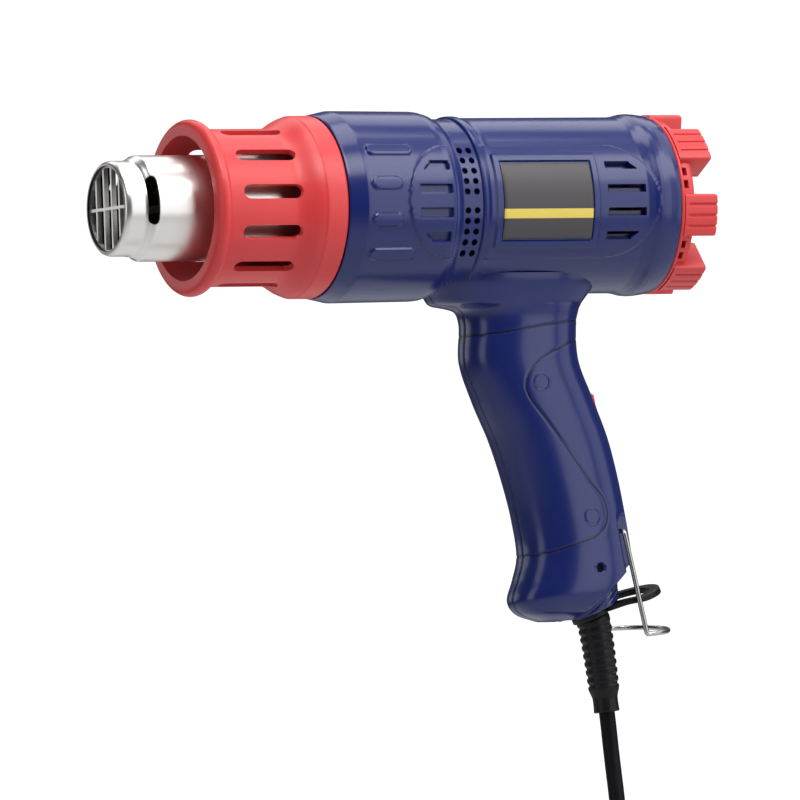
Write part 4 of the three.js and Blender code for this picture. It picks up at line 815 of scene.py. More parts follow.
def path_distance(x, z, route):
    """Signed distance in the side view from each point to a polyline, by the side of its nearest stretch."""
    route = np.asarray(route, dtype=float)
    best = np.full(x.shape, FAR)
    for (ax, az), (bx, bz) in zip(route[:-1], route[1:]):
        dx, dz = bx - ax, bz - az
        t = np.clip(((x - ax) * dx + (z - az) * dz) / (dx * dx + dz * dz), 0, 1)
        away = np.hypot(x - ax - t * dx, z - az - t * dz)
        away = np.where(dx * (z - az) - dz * (x - ax) < 0, -away, away)
        best = np.where(np.abs(away) < np.abs(best), away, best)
    return best


def groove_distances(x, z):
    """Distances in the side view to the grip's two groove lines."""
    return [path_distance(x, z, route) for route in (TOP_GROOVE, spline(SIDE_GROOVE, 4))]


def grip_edges(z):
    """Front edge, rear edge and half width of the grip at a height, from a spline through its stations."""
    curve = spline(GRIP_STATIONS, 16)[::-1]
    return [np.interp(z, curve[:, 0], curve[:, k]) for k in (1, 2, 3)]


def grip_skin(x, z):
    """Half width of the grip's plain skin at a place in the side view: b (1 - |u|^n)^(1/n)."""
    front, rear, half = grip_edges(z)
    across = np.clip(np.abs(x - (front + rear) / 2) / ((rear - front) / 2), 0, 1)
    return half * (1 - across**GRIP_POWER) ** (1 / GRIP_POWER)


def round_patch(x, z, profile, ring):
    """A round moulding set in the left side of the grip: a profile of (radius, height over the skin) turned
    about the screw's axis, either a ring or closed in the middle."""
    profile = np.asarray(profile, dtype=float)
    turn = full_turn(PATCH_SIDES)
    radius, lift = profile[:, :1], profile[:, 1:]
    at_x, at_z = x + radius * np.cos(turn), z + radius * np.sin(turn)
    loops = np.stack([at_x, -grip_skin(at_x, at_z) - lift, at_z], axis=-1)
    return ringed(loops) if ring else lofted(loops)


def mark_grooves(piece):
    """Stores the distance to both groove lines and to the seam at each vertex as 0.5 + d / 8, held to 3 mm
    each way."""
    x, y, z = tool_points(piece.data)
    lines = [*groove_distances(x, z), y]
    held = [0.5 + np.clip(line, -GROOVE_HELD, GROOVE_HELD) / GROOVE_SPAN for line in lines]
    store = piece.data.attributes.new("groove", "FLOAT_VECTOR", "POINT")
    store.data.foreach_set("vector", np.stack(held, axis=1).ravel())


def outward(points, middle):
    """Unit normals of a grid of points, turned away from the middle of each."""
    normal = np.cross(np.gradient(points, axis=1), np.gradient(points, axis=0))
    normal = normal / np.maximum(np.linalg.norm(normal, axis=-1, keepdims=True), TINY)
    away = np.sign(np.sum(normal * (points - middle), axis=-1, keepdims=True))
    return normal * np.where(away == 0, 1, away)


def grip_half(side, sizes):
    """Half of the grip: superellipse half sections, x = m + a |cos|^(2/n), y = b |sin|^(2/n), from the barrel's
    skin down to the pommel, with grooves, screw pockets, the bail's notch and the slanting cut."""
    rows, columns = GRIP_GRID
    power, gap = 2.0 / GRIP_POWER, sizes.split / MM / 2
    ridge = math.pi - math.asin((NOTCH_HALF / NOTCH_GRIP) ** (GRIP_POWER / 2))
    turn = spaced(0.0, math.pi, math.pi / columns, [ridge - NOTCH_EDGE, ridge + NOTCH_EDGE])
    share = np.linspace(0.0, 1.0, rows)
    share = np.concatenate([share[:-GRIP_FOOT_ROWS], spaced(share[-GRIP_FOOT_ROWS], 1.0, GRIP_FOOT_STEP)])
    share, turn = crossed(share, turn)
    reach = np.maximum(BARREL_RADIUS**2 - (GRIP_NECK * signed_power(np.sin(turn), power)) ** 2, 1.0)
    start = np.minimum(-np.sqrt(reach) + GRIP_LAP, GRIP_TOP)
    z = start + (GRIP_FOOT - start) * share
    front, rear, half = grip_edges(z)
    x = (front + rear) / 2 - (rear - front) / 2 * signed_power(np.cos(turn), power)
    y = np.maximum(half * signed_power(np.sin(turn), power), gap)
    points = np.stack([x, y, z], axis=-1)
    normal = outward(points, np.stack([(front + rear) / 2, np.zeros_like(z), z], axis=-1))
    width = sizes.groove_width / MM
    lines = [sizes.groove / MM * np.exp(-((line / width) ** 2)) for line in groove_distances(x, z)]
    sink = np.maximum(*lines) + sizes.seam / MM * fall(0.0, GRIP_SEAM, y - gap)
    if side < 0:
        for (at_x, at_z, radius), deep in zip(SCREWS, POCKETS):
            pocket = deep * fall(radius - POCKET_SOFT, radius, np.hypot(x - at_x, z - at_z))
            sink = np.maximum(sink, np.where(y > POCKET_FROM, pocket, 0.0))
    shaped = []
    for depth, back in ((sink[..., None], 0.0), (sizes.wall / MM, NOTCH_WALL)):
        skin = points - normal * depth
        skin[..., 1] = np.maximum(skin[..., 1], gap)
        leg = skin - BAIL_PIVOT
        behind = leg @ BAIL_BACK + NOTCH_DEPTH + back
        in_notch = (skin[..., 1] > NOTCH_HALF) & (behind > 0)
        push = np.where(in_notch, behind * smooth(*NOTCH_FADE, leg @ BAIL_DOWN), 0.0)
        skin = skin - push[..., None] * BAIL_BACK
        over = (skin - CUT_AT) @ CUT_OUT
        skin = skin - np.maximum(over + back, 0.0)[..., None] * CUT_OUT
        skin[..., 1] *= side
        shaped.append(skin)
    return walled(*shaped)


class OBJECT_OT_hot_air_housing(Operator):
    """Builds both moulded halves with their relief, vents and grooves."""

    bl_idname = "object.hot_air_housing"
    bl_label = "Housing halves"

    def execute(self, context):
        sizes = context.scene.hot_air_housing
        for name, side in (("housing_left", -1), ("housing_right", 1)):
            grip = add_piece(f"{name}_grip", grip_half(side, sizes), "blue_plastic", [name], crease=38)
            mark_grooves(grip)
            for stretch, *extent in BARREL_STRETCHES:
                barrel = barrel_stretch(side, sizes, *extent)
                add_piece(f"{name}_{stretch}", barrel, "blue_plastic", [name], crease=38)
            add_piece(f"{name}_vent_bars", vent_bars(side, sizes), "blue_plastic")
        return {"FINISHED"}


# Housing, collar and screws

# Radius and height over the grip's skin
PLUG_PROFILE = ((3.9, -1.4), (3.9, -0.03), (3.8, 0.02), (3.32, 0.02), (3.24, -0.1), (3.2, -0.5))
PLUG_PROFILE += ((3.06, -0.5), (3.02, -0.1), (2.9, 0.01), (2.0, 0.03), (0.01, 0.03))
MOUTH_PROFILE = ((2.9, -2.4), (2.9, -0.03), (2.8, 0.02), (2.5, 0.0), (2.2, -0.2), (1.9, -0.5), (1.6, -0.8))
MOUTH_PROFILE += ((1.5, -1.1), (1.48, -2.4))
HEAD_PROFILE = ((1.7, -2.3), (1.7, -1.5), (0.01, -1.5))
COLLAR_RADIUS, COLLAR_INNER, COLLAR_SPAN, COLLAR_FOOT = 13.0, 6.0, (-0.2, 9.0), -166.9
COLLAR_FLARE, COLLAR_STEP, COLLAR_STEP_RISE = 0.33, 0.6, 0.4
COLLAR_ROUND, COLLAR_ROUND_SPAN = 0.5, (-0.2, 0.4)
STEP_LEVEL, STEP_SLANT = 2.6, 4.2
LINE_DROPS, LINE_DEPTH, LINE_WIDTH = (0.0, 2.3), 0.3, 0.3


def collar_half(side, sizes):
    """Half of the collar round the cord's exit, over height and turn: radius 13 mm, flaring at the back, stepped
    out above a slanting line with one more line under it, held above the pommel's foot and walled inwards."""
    end = math.pi / 2 - sizes.split / MM / 2 / COLLAR_RADIUS
    up, turn = crossed(np.linspace(*COLLAR_SPAN, 93), np.linspace(-end, end, 90))
    back = np.sin(turn)
    over = up - STEP_LEVEL - STEP_SLANT * back
    flare = COLLAR_FLARE * np.maximum(up, 0) * (0.5 + 0.5 * back)
    step = COLLAR_STEP * smooth(0.0, COLLAR_STEP_RISE, over)
    for line in LINE_DROPS:
        step = step - LINE_DEPTH * np.exp(-(((over + line) / LINE_WIDTH) ** 2))
    radius = COLLAR_RADIUS + flare + step - COLLAR_ROUND * fall(*COLLAR_ROUND_SPAN, up)
    away = back[..., None] * EXIT_BACK + side * np.cos(turn)[..., None] * ACROSS
    middle = EXIT - up[..., None] * EXIT_DOWN
    outer, inner = middle + radius[..., None] * away, middle + COLLAR_INNER * away
    outer[..., 2] = np.maximum(outer[..., 2], COLLAR_FOOT)
    return walled(outer, inner)


class OBJECT_OT_hot_air_collar(Operator):
    """Builds the collar's two halves at the foot of the grip and the plugs over the screws."""

    bl_idname = "object.hot_air_collar"
    bl_label = "Collar and plugs"

    def execute(self, context):
        sizes = context.scene.hot_air_housing
        for name, side in (("collar_left", -1), ("collar_right", 1)):
            add_piece(name, collar_half(side, sizes), "blue_plastic")
        for number, (x, z, _) in enumerate(SCREWS[:2], 1):
            plug = round_patch(x, z, PLUG_PROFILE, False)
            add_piece(f"plug_cap_{number}", plug, "blue_plastic", [f"grip_plug_{number}"])
        x, z, _ = SCREWS[2]
        add_piece("screw_mouth", round_patch(x, z, MOUTH_PROFILE, True), "blue_plastic")
        add_piece("sunk_screw_head", round_patch(x, z, HEAD_PROFILE, False), "dark_steel")
        return {"FINISHED"}


# Nozzle and heat guard

# Distance from the mouth and step from the mouth's or the tube's radius
NOZZLE_LIP = ((0.0, 1.3), (0.12, 1.08), (0.4, 0.75), (0.8, 0.45), (1.3, 0.22), (1.8, 0.08), (2.4, 0.0), (3.0, 0.0))
NOZZLE_STEP = ((8.4, 0.0), (9.0, 0.05), (9.4, 0.2), (10.2, 0.75))
NOZZLE_HEEL = ((11.4, 0.7), (12.2, 0.15), (12.7, 0.0), (13.3, 0.0), (108.0, 0.0))
NOZZLE_SLOTS = [math.radians(degrees) for degrees in (7.0, 127.0, 247.0)]
NOZZLE_SLOT_REACH = math.radians(28.5)
NOZZLE_SLOT_X, NOZZLE_SLOT_HALF = 11.7, 2.2
NOZZLE_SLOT_FADE, NOZZLE_SLOT_PAST = 0.24, 2.0
NOZZLE_FLANGE, NOZZLE_FLANGE_LAP, NOZZLE_FLANGE_ROUND = (30.0, 107.9, 108.7), 0.4, 0.2
NOZZLE_STEPS, GUARD_STEP = 96, math.radians(2.2)
GUARD_SLOT_FROM, GUARD_SLOT_TO, GUARD_SLOT_ANGLE = 46.3, 72.3, -21.5
GUARD_SHARES = np.array((-1, -0.9, -0.7, -0.4, 0, 0.4, 0.7, 0.9, 1))
BEAD_AT, BEAD_HALF, BEAD_POWER, BEAD_END = 37.0, 3.1, 0.75, 40.6
FLARE_FROM, FLARE_TO, FLARE_LIP = 69.5, 81.0, 0.35
FLANGE_EDGE = ((80.7, 0.3), (80.95, 0.05), (81.2, 0.0), (88.6, 0.0), (89.4, 0.15), (89.9, 0.5), (90.0, 0.8))
GUARD_SPIGOT = ((90.05, 35.4), (96.5, 35.4), (97.0, 35.0))
GUARD_FLAT_TO, GUARD_SLOT_FADE, GUARD_SLOT_DRAW = 44.0, 2.4, 5.2


def nozzle_profile(sizes):
    """The nozzle's outer radius by x: a rounded lip, the mouth, a sloping step and the tube."""
    mouth, tube = sizes.nozzle_mouth / MM, sizes.nozzle_tube / MM
    lip, step, heel = np.array(NOZZLE_LIP), np.array(NOZZLE_STEP), np.array(NOZZLE_HEEL)
    along = np.concatenate([lip[:, 0], step[:, 0], heel[:, 0]])
    return along, np.concatenate([mouth - lip[:, 1], mouth + step[:, 1], tube - heel[:, 1]])


def mark_tube_shade(piece, sizes):
    """Stores 1, where the nozzle's inside takes painted shade, at each vertex that lies deeper than half the wall
    under its outer profile.
    """
    x, y, z = tool_points(piece.data)
    inner = np.hypot(y, z) < np.interp(x, *nozzle_profile(sizes)) - sizes.nozzle_wall / MM / 2
    store = piece.data.attributes.new("soot", "FLOAT", "POINT")
    store.data.foreach_set("value", inner.astype(float))


def nozzle_tube(sizes):
    """Stepped tube: radius by x with a rounded lip and a sloping step, left open at three slots whose ends
    are half circles, walled inwards, with a flange turned at the rear."""
    mouth, tube, wall = sizes.nozzle_mouth / MM, sizes.nozzle_tube / MM, sizes.nozzle_wall / MM
    half, reach = NOZZLE_SLOT_HALF, NOZZLE_SLOT_REACH
    edges = [(m + s * reach * k) % (2 * math.pi) for m in NOZZLE_SLOTS for s in (-1, 1) for k in (1.0, 0.93)]
    angles = spaced(0.0, 2 * math.pi, math.radians(3), edges)[:-1]
    profile_x, profile_r = nozzle_profile(sizes)
    low, high = NOZZLE_SLOT_X - half, NOZZLE_SLOT_X + half
    inside = [low, *(low + half * k for k in (0.15, 0.5, 1.0, 1.5, 1.85)), high]
    xs = np.unique(np.concatenate([profile_x[:-1], inside, np.linspace(4, 8, 4), np.linspace(14.2, 108, 60)]))
    x, angle = crossed(xs, angles)
    quads = grid_quads(len(xs), len(angles), wrap_columns=True)
    mid_x, mid_angle = x.ravel()[quads].mean(axis=1), mean_turn(angle.ravel()[quads])
    open_ = np.zeros(len(quads), dtype=bool)
    moved = angle.copy()
    for middle in NOZZLE_SLOTS:
        open_ |= (np.abs(nearest_turn(mid_angle, middle)) < reach) & (mid_x > low) & (mid_x < high)
        away = nearest_turn(angle, middle)
        off = np.abs(x - NOZZLE_SLOT_X)
        draw = circle_drop(half, off) / mouth
        near = fall(0.0, NOZZLE_SLOT_FADE, np.abs(np.abs(away) - reach))
        moved -= np.sign(away) * draw * near * fall(half, half + NOZZLE_SLOT_PAST, off)
    r = np.interp(x, profile_x, profile_r)
    skin = walled(around(x, r, moved), around(x, r - wall, moved), quads[~open_])
    rim, front, rear = NOZZLE_FLANGE
    section = rounded_box(tube - NOZZLE_FLANGE_LAP, rim, front, rear, NOZZLE_FLANGE_ROUND, 2)
    flange = ringed(around(section[:, 1:], section[:, :1], full_turn(NOZZLE_STEPS)))
    return joined([skin, flange])


def heat_guard(sizes):
    """Slotted guard: radius by x (bead, tube, flare, flange, spigot), left open at slots whose ends are half
    circles, because each line of the grid near an end is drawn along x by the circle's drop."""
    tube, bead, flange = sizes.guard_tube / MM, sizes.guard_bead / MM, sizes.guard_flange / MM
    half, wall = sizes.slot_width / MM / 2, sizes.guard_wall / MM
    reach = half / tube
    middles = math.radians(GUARD_SLOT_ANGLE) + full_turn(sizes.guard_slots)
    edges = (middles[:, None] + reach * GUARD_SHARES[None]).ravel() % (2 * np.pi)
    angles = spaced(0.0, 2 * np.pi, GUARD_STEP, edges)[:-1]
    bend = np.linspace(0, np.pi, 15)
    bead_x = BEAD_AT - BEAD_HALF * np.cos(bend)
    bead_r = tube + (bead - tube) * np.sin(bend) ** BEAD_POWER
    flare_x = np.linspace(FLARE_FROM, FLARE_TO - 0.5, 12)
    flare_r = tube + (flange - FLARE_LIP - tube) * smooth(FLARE_FROM, FLARE_TO, flare_x)
    edge, spigot = np.array(FLANGE_EDGE), np.array(GUARD_SPIGOT)
    rear_x = np.concatenate([edge[:, 0], spigot[:, 0]])
    profile_x = np.concatenate([bead_x, [BEAD_END], flare_x, rear_x])
    profile_r = np.concatenate([bead_r, [tube], flare_r, flange - edge[:, 1], spigot[:, 1]])
    front_x = [bead_x, np.linspace(BEAD_END, 46.0, 7), [GUARD_SLOT_FROM], np.linspace(47, 71.8, 26)]
    xs = np.unique(np.concatenate([*front_x, [GUARD_SLOT_TO], np.linspace(73, 88, 16), rear_x]))
    x, angle = crossed(xs, angles)
    quads = grid_quads(len(xs), len(angles), wrap_columns=True)
    mid_x, mid_angle = x.ravel()[quads].mean(axis=1), mean_turn(angle.ravel()[quads])
    between = (mid_x > GUARD_SLOT_FROM) & (mid_x < GUARD_SLOT_TO)
    open_ = np.zeros(len(quads), dtype=bool)
    moved = x.copy()
    for middle in middles:
        open_ |= between & (np.abs(nearest_turn(mid_angle, middle)) < reach)
        arc = np.abs(nearest_turn(angle, middle)) * tube
        drop = circle_drop(half, arc) * fall(half, half + GUARD_SLOT_FADE, arc)
        for end, way in ((GUARD_SLOT_FROM, 1), (GUARD_SLOT_TO, -1)):
            moved += way * drop * fall(0.0, GUARD_SLOT_DRAW, np.abs(x - end))
    outer = np.interp(moved, profile_x, profile_r)
    inner = np.where(moved < GUARD_FLAT_TO, tube, outer) - wall
    return walled(around(moved, outer, angle), around(moved, inner, angle), quads[~open_])


class OBJECT_OT_hot_air_front(Operator):
    """Builds the nozzle and the slotted heat guard."""

    bl_idname = "object.hot_air_front"
    bl_label = "Nozzle and heat guard"

    def execute(self, context):
        sizes = context.scene.hot_air_front
        nozzle = add_piece("nozzle_sheet", nozzle_tube(sizes), "nozzle_steel", ["nozzle_tube"], crease=40)
        mark_tube_shade(nozzle, sizes)
        add_piece("guard_moulding", heat_guard(sizes), "red_plastic", ["heat_guard"], crease=40)
        return {"FINISHED"}


# Rear cap and label

# Radius and x
CAP_OUTER = [(32.1, 232.3), (32.1, 239.2), (35.4, 239.3), (35.8, 239.7), (35.8, 240.4), (35.4, 240.8)]
CAP_OUTER += [(33.9, 240.9), (33.8, 241.1), (33.8, 243.6), (33.8, 245.4), (33.3, 246.0)]
CAP_INNER = [(29.9, 232.3), (29.9, 239.2), (29.9, 239.4), (29.9, 239.7), (29.9, 240.4), (29.9, 240.7)]
CAP_INNER += [(30.4, 240.9), (30.6, 241.1), (30.6, 243.6), (30.6, 243.7), (30.4, 243.8)]
CAP_DISC, CAP_BACK, CAP_INSIDE = (26.0, 18.0, 13.0, 8.0, 4.0, 0.0), 246.0, 243.8
CAP_BAND, CAP_BAND_ROW, CAP_SLIT_ROWS, CAP_SLIT_REACH = 33.8, 7, (12, 13), 0.15
CAP_BLOCK_ANGLE = math.radians(-10.4)
CAP_INTAKE_HALF, CAP_INTAKE_STEP = 1.7, math.radians(9.0)
BLOCK_FROM, BLOCK_CORNER, BLOCK_EDGE = 240.7, 1.1, 1.0
BLOCK_FOOT = (0.0, 1.2, 2.0, 2.4)
BLOCK_GROOVES, BLOCK_GROOVE_DEPTH, BLOCK_GROOVE_HALF = np.array((-0.5, 0.0, 0.5)), 0.8, 0.5
LABEL_RADIUS, LABEL_BACK, LABEL_HALF, LABEL_ROUND = 37.0, 36.45, 15.2, 0.3
LABEL_FRONT_X, LABEL_REAR_X = (159.1, 159.25, 159.6, 160.2), (197.8, 198.4, 198.75, 198.9)
LABEL_EDGE, LABEL_FLAT = np.array((0.0, 0.004, 0.013)), 0.03


def cap_cup(sizes):
    """The cap's cup: outer and inner profiles turned together, left open at pairs of slots in the band and a
    slit in the disc between each two blocks."""
    outer = np.array(CAP_OUTER + [(r, CAP_BACK) for r in CAP_DISC])
    inner = np.array(CAP_INNER + [(r, CAP_INSIDE) for r in CAP_DISC])
    betweens = CAP_BLOCK_ANGLE + 2 * np.pi / sizes.blocks * (np.arange(sizes.blocks) + 0.5)
    slots = np.concatenate([betweens + s * CAP_INTAKE_STEP / 2 for s in (-1, 1)])
    reach, slit = CAP_INTAKE_HALF / CAP_BAND, CAP_SLIT_REACH
    edges = np.concatenate([slots - reach, slots + reach, betweens - slit, betweens + slit]) % (2 * np.pi)
    angles = spaced(0.0, 2 * np.pi, math.radians(3), edges)[:-1]
    quads = grid_quads(len(outer), len(angles), wrap_columns=True)
    row = quads[:, 0] // len(angles)
    mid = mean_turn(angles[quads % len(angles)])[:, None]
    off_slot, off_between = (np.abs(nearest_turn(mid, at[None])).min(axis=1) for at in (slots, betweens))
    open_ = (row == CAP_BAND_ROW) & (off_slot < reach) | np.isin(row, CAP_SLIT_ROWS) & (off_between < slit)
    outer, inner = (around(profile[:, 1:], profile[:, :1], angles) for profile in (outer, inner))
    return walled(outer, inner, quads[~open_])


def crown_blocks(sizes):
    """Ring sectors carried along x: the outer edge is an arc with three shallow grooves, the corners fall off
    by a circle's drop, and the last loops shrink towards the middle as a rounded rear edge."""
    arc, far, near = sizes.block_arc / 2, sizes.block_outer / MM, sizes.block_inner / MM
    flat = sizes.block_length / MM - BLOCK_EDGE
    along = np.concatenate([BLOCK_FOOT, np.linspace(3, flat, 6)])
    round_ = np.linspace(0, np.pi / 2, 6)[1:]
    inset = np.concatenate([np.zeros(len(along)), BLOCK_EDGE - np.cos(round_)])
    along = np.concatenate([along, flat + np.sin(round_)])
    t = np.linspace(-1, 1, 61)
    parts = []
    for turn in CAP_BLOCK_ANGLE + full_turn(sizes.blocks):
        loops = []
        for x, shrink in zip(along, inset):
            edges = []
            for radius, way, places in ((far, 1, t), (near, -1, t[::-1][::4])):
                angle = arc * places * (1 - shrink / (arc * radius))
                end = (arc * radius - shrink) * (1 - np.abs(places))
                fall = circle_drop(BLOCK_CORNER, BLOCK_CORNER - end)
                edges.append((angle, radius - way * (shrink + fall)))
            (outside, r_out), (inside, r_in) = edges
            off = np.abs(outside[:, None] - BLOCK_GROOVES[None] * arc).min(axis=1) * far
            groove = np.exp(-((off / BLOCK_GROOVE_HALF) ** 4))
            r_out = r_out - BLOCK_GROOVE_DEPTH * groove * smooth(*BLOCK_FOOT[1::2], x)
            angle = np.concatenate([outside, inside]) + turn
            loops.append(around(BLOCK_FROM + x, np.concatenate([r_out, r_in]), angle))
        parts.append(lofted(loops))
    return parts


def label_patch():
    """Plate on a cylinder: x and the angle over the frame's field, with a rounded rim, walled inwards."""
    half = math.asin(LABEL_HALF / LABEL_RADIUS)
    flat = np.linspace(LABEL_FRONT_X[-1], LABEL_REAR_X[0], 40)
    xs = np.concatenate([LABEL_FRONT_X[:-1], flat, LABEL_REAR_X[1:]])
    flat = np.linspace(-half + LABEL_FLAT, half - LABEL_FLAT, 40)
    angles = np.concatenate([-half + LABEL_EDGE, flat, half - LABEL_EDGE[::-1]])
    x, angle = crossed(xs, angles)
    rim = np.minimum(np.minimum(x - xs[0], xs[-1] - x), (half - np.abs(angle)) * LABEL_RADIUS)
    outer = LABEL_RADIUS - LABEL_ROUND * fall(0.0, 2 * LABEL_ROUND, rim)
    return walled(around(x, outer, angle), around(x, LABEL_BACK, angle))


class OBJECT_OT_hot_air_rear(Operator):
    """Builds the rear cap with its crown blocks and intake, and the bare label plate."""

    bl_idname = "object.hot_air_rear"
    bl_label = "Rear cap and label"

    def execute(self, context):
        sizes = context.scene.hot_air_rear
        cap = joined([cap_cup(sizes), *crown_blocks(sizes)])
        add_piece("cap_moulding", cap, "red_plastic", ["rear_cap"], crease=40)
        add_piece("label_patch", label_patch(), "label_grey", ["label_plate"])
        return {"FINISHED"}


# Switch, bail and hanging loop

SWITCH_AT = np.array((210.6, 0.0, -81.2))
SWITCH_DOWN, SWITCH_OUT = leaning(20.6)
ROCKER_REACH, ROCKER_HALF, ROCKER_PIVOT, ROCKER_DISH, ROCKER_EDGE = 6.2, 4.0, 1.3, 4.1, 0.7
ROCKER_REST, ROCKER_TIP, ROCKER_BACK, ROCKER_MIDDLE = math.radians(6.5), 45.0, 105.0, 6.0
WIRE_DOWN, HOOK_BACK = leaning(11.8)[0], leaning(3.5)[1]
BAIL_HALF, BAIL_LEGS, BAIL_BEND, BAIL_SKEW, BAIL_PIN = 15.9, 42.6, 2.2, 3.8, 6.0
RING_TOP, RING_THICK, RING_ROUND, RING_STEPS = 0.3, 2.6, 0.5, 96
# Each ring: distance from the exit, inner and outer radius, twist in degrees, droop
RINGS = ((0.0, 4.9, 8.0, 0.0, 0.0), (17.2, 9.8, 14.2, 5.0, 2.2))
TWIST_FROM, DROOP_FROM = (9.0, 20.0), (6.0, 33.0)


def switch_rocker():
    """Rocker outline (two arcs round the pivot and a dished top) carried across, drawn in a little at both
    ends by a quarter circle so that the edges are round."""
    high = np.radians(np.linspace(ROCKER_TIP, ROCKER_BACK, 14))
    ends = np.concatenate([high, -high[::-1]])
    tip = ROCKER_REACH * math.cos(math.radians(ROCKER_TIP))
    z_top = np.linspace(-tip, tip, 25)[1:-1]
    x_top = ROCKER_DISH + (tip - ROCKER_DISH) * (np.abs(z_top) / tip) ** 1.5
    x = np.concatenate([ROCKER_REACH * np.cos(ends), x_top])
    z = np.concatenate([ROCKER_REACH * np.sin(ends), z_top])
    sine, cosine = math.sin(ROCKER_REST), math.cos(ROCKER_REST)
    x, z = x * cosine + z * sine, z * cosine - x * sine
    round_ = np.linspace(0, np.pi / 2, 6)
    inset = ROCKER_EDGE * (1 - np.cos(round_))
    shrink = ROCKER_EDGE * (1 - np.sin(round_))
    y = np.concatenate([-ROCKER_HALF + inset, ROCKER_HALF - inset[::-1]])[:, None]
    share = 1 - np.concatenate([shrink, shrink[::-1]])[:, None] / ROCKER_MIDDLE
    out = x.mean() + (x - x.mean()) * share - ROCKER_PIVOT
    up = z.mean() + (z - z.mean()) * share
    return lofted(SWITCH_AT + out[..., None] * SWITCH_OUT - up[..., None] * SWITCH_DOWN + y[..., None] * ACROSS)


def bail_route():
    """The wire from one pin down its leg, round a half circle behind and up to the other pin: straight runs
    whose corners are Bezier bends."""
    half, legs, skew = BAIL_HALF, BAIL_LEGS, BAIL_SKEW
    at = lambda y, along: BAIL_PIVOT + along * WIRE_DOWN + y * ACROSS
    turn = np.linspace(0, np.pi, 41)[1:-1, None]
    hook = at(0, legs) - half * np.cos(turn) * ACROSS + half * np.sin(turn) * HOOK_BACK
    hook = hook - skew * (0.5 - 0.5 * np.cos(turn)) * WIRE_DOWN
    first, last = at(-BAIL_PIN, 0), at(BAIL_PIN, 0)
    corners = np.array([first, at(-half, 0), at(-half, legs), *hook, at(half, legs - skew), at(half, 0), last])
    curve = corner_bends(corners[:-2], corners[1:-1], corners[2:], BAIL_BEND, 0.5, 8)
    points = np.concatenate([corners[:1], curve, corners[-1:]])
    apart = np.linalg.norm(np.diff(points, axis=0), axis=1) > APART
    return points[np.concatenate([[True], apart])]


def flat_ring(middle, inner, outer, twist, droop):
    """A flat rubber ring under the exit: a rounded rectangle turned about the exit's direction, twisted about
    its own length and drooping from the collar outwards."""
    section = rounded_box(inner, outer, RING_TOP, RING_TOP + RING_THICK, RING_ROUND, 3)
    turn = full_turn(RING_STEPS)[:, None]
    radius, down = section[:, 0][None, :], section[:, 1][None, :]
    reach, aside = middle + radius * np.cos(turn), radius * np.sin(turn)
    angle = math.radians(twist) * smooth(*TWIST_FROM, reach)
    down, aside = down + droop * smooth(*DROOP_FROM, reach) - aside * np.sin(angle), aside * np.cos(angle)
    return ringed(EXIT + reach[..., None] * EXIT_BACK + down[..., None] * EXIT_DOWN + aside[..., None] * ACROSS)


class OBJECT_OT_hot_air_fittings(Operator):
    """Builds the switch rocker, the wire bail and the hanging loop."""

    bl_idname = "object.hot_air_fittings"
    bl_label = "Rocker, bail and loop"

    def execute(self, context):
        sizes = context.scene.hot_air_cord
        add_piece("rocker_cap", switch_rocker(), "red_plastic", ["switch_rocker"], "rocker", crease=50)
        wire = swept(bail_route(), sizes.wire / MM, 20)
        add_piece("bail_wire", wire, "wire_steel", ["stand_bail"], "bail")
        rings = joined([flat_ring(*ring) for ring in RINGS])
        add_piece("loop_ring", rings, "black_rubber", ["hanging_loop"], crease=60)
        return {"FINISHED"}


# Cord

CORD_ROUTE = (
    (215.3, 0, -203.3), (215.9, 0, -209.5), (216.3, -0.4, -217), (216.4, -1.8, -226), (216.4, -3.9, -237),
    (216.4, -5.4, -248), (216.4, -5.85, -258), (218, -5.85, -270), (222.2, -5.85, -282), (228.2, -5.85, -294),
    (235.2, -5.85, -306), (242, -5.85, -318), (248.2, -4.8, -329), (252.6, -1.6, -338.5),
    (254.425, 1.2, -346.5), (254.425, 1.95, -354), (254.425, 1.95, -360.2),
)
HANK_X, HANK_TOP, HANK_RUN, HANK_FOLD, HANK_PITCH = 216.4, -292.0, 75.0, 19.5, 7.8
HANK_TURNS, HANK_REVERSE, HANK_LAYER, HANK_DRAW = 5, 2.375, 1.95, 8.0
HANK_OUT = HANK_TURNS - HANK_REVERSE
HANK_CLIMB = 0.125
HANK_END = np.array((HANK_X + HANK_FOLD + HANK_PITCH * HANK_OUT, HANK_LAYER + HANK_PITCH, -373.5))
HANK_TAIL = 6.5
RELIEF_TOP, RELIEF_LEAD, RELIEF_TAIL = 3.2, 4.0, np.array((-1.4, 0.0, 14.0))
RELIEF_TIP = np.array((215.3, 0.0, -203.0))
BOOT_TOP, BOOT_FOOT, BOOT_BELL, BOOT_FIRST, BOOT_PLAIN = 6.9, 6.3, 1.25, 1.0, 10.5
BOOT_RIB, BOOT_RIB_RISE, BOOT_RIB_FALL = 0.6, (0.3, 0.7), (0.78, 1.0)
BOOT_WEB, BOOT_WEB_SPAN, BOOT_WEB_SHARE = math.radians(26), (0.6, 0.95), 0.72
BOOT_LIP, BOOT_LIP_SPAN, BOOT_END, BOOT_END_SPAN = 0.15, (0.7, 1.0), 0.5, (0.97, 1.0)
BOOT_HEAD, BOOT_HEAD_SPAN, BOOT_LAP, BOOT_SIDES = 0.4, (0.0, 0.5), 0.06, 72
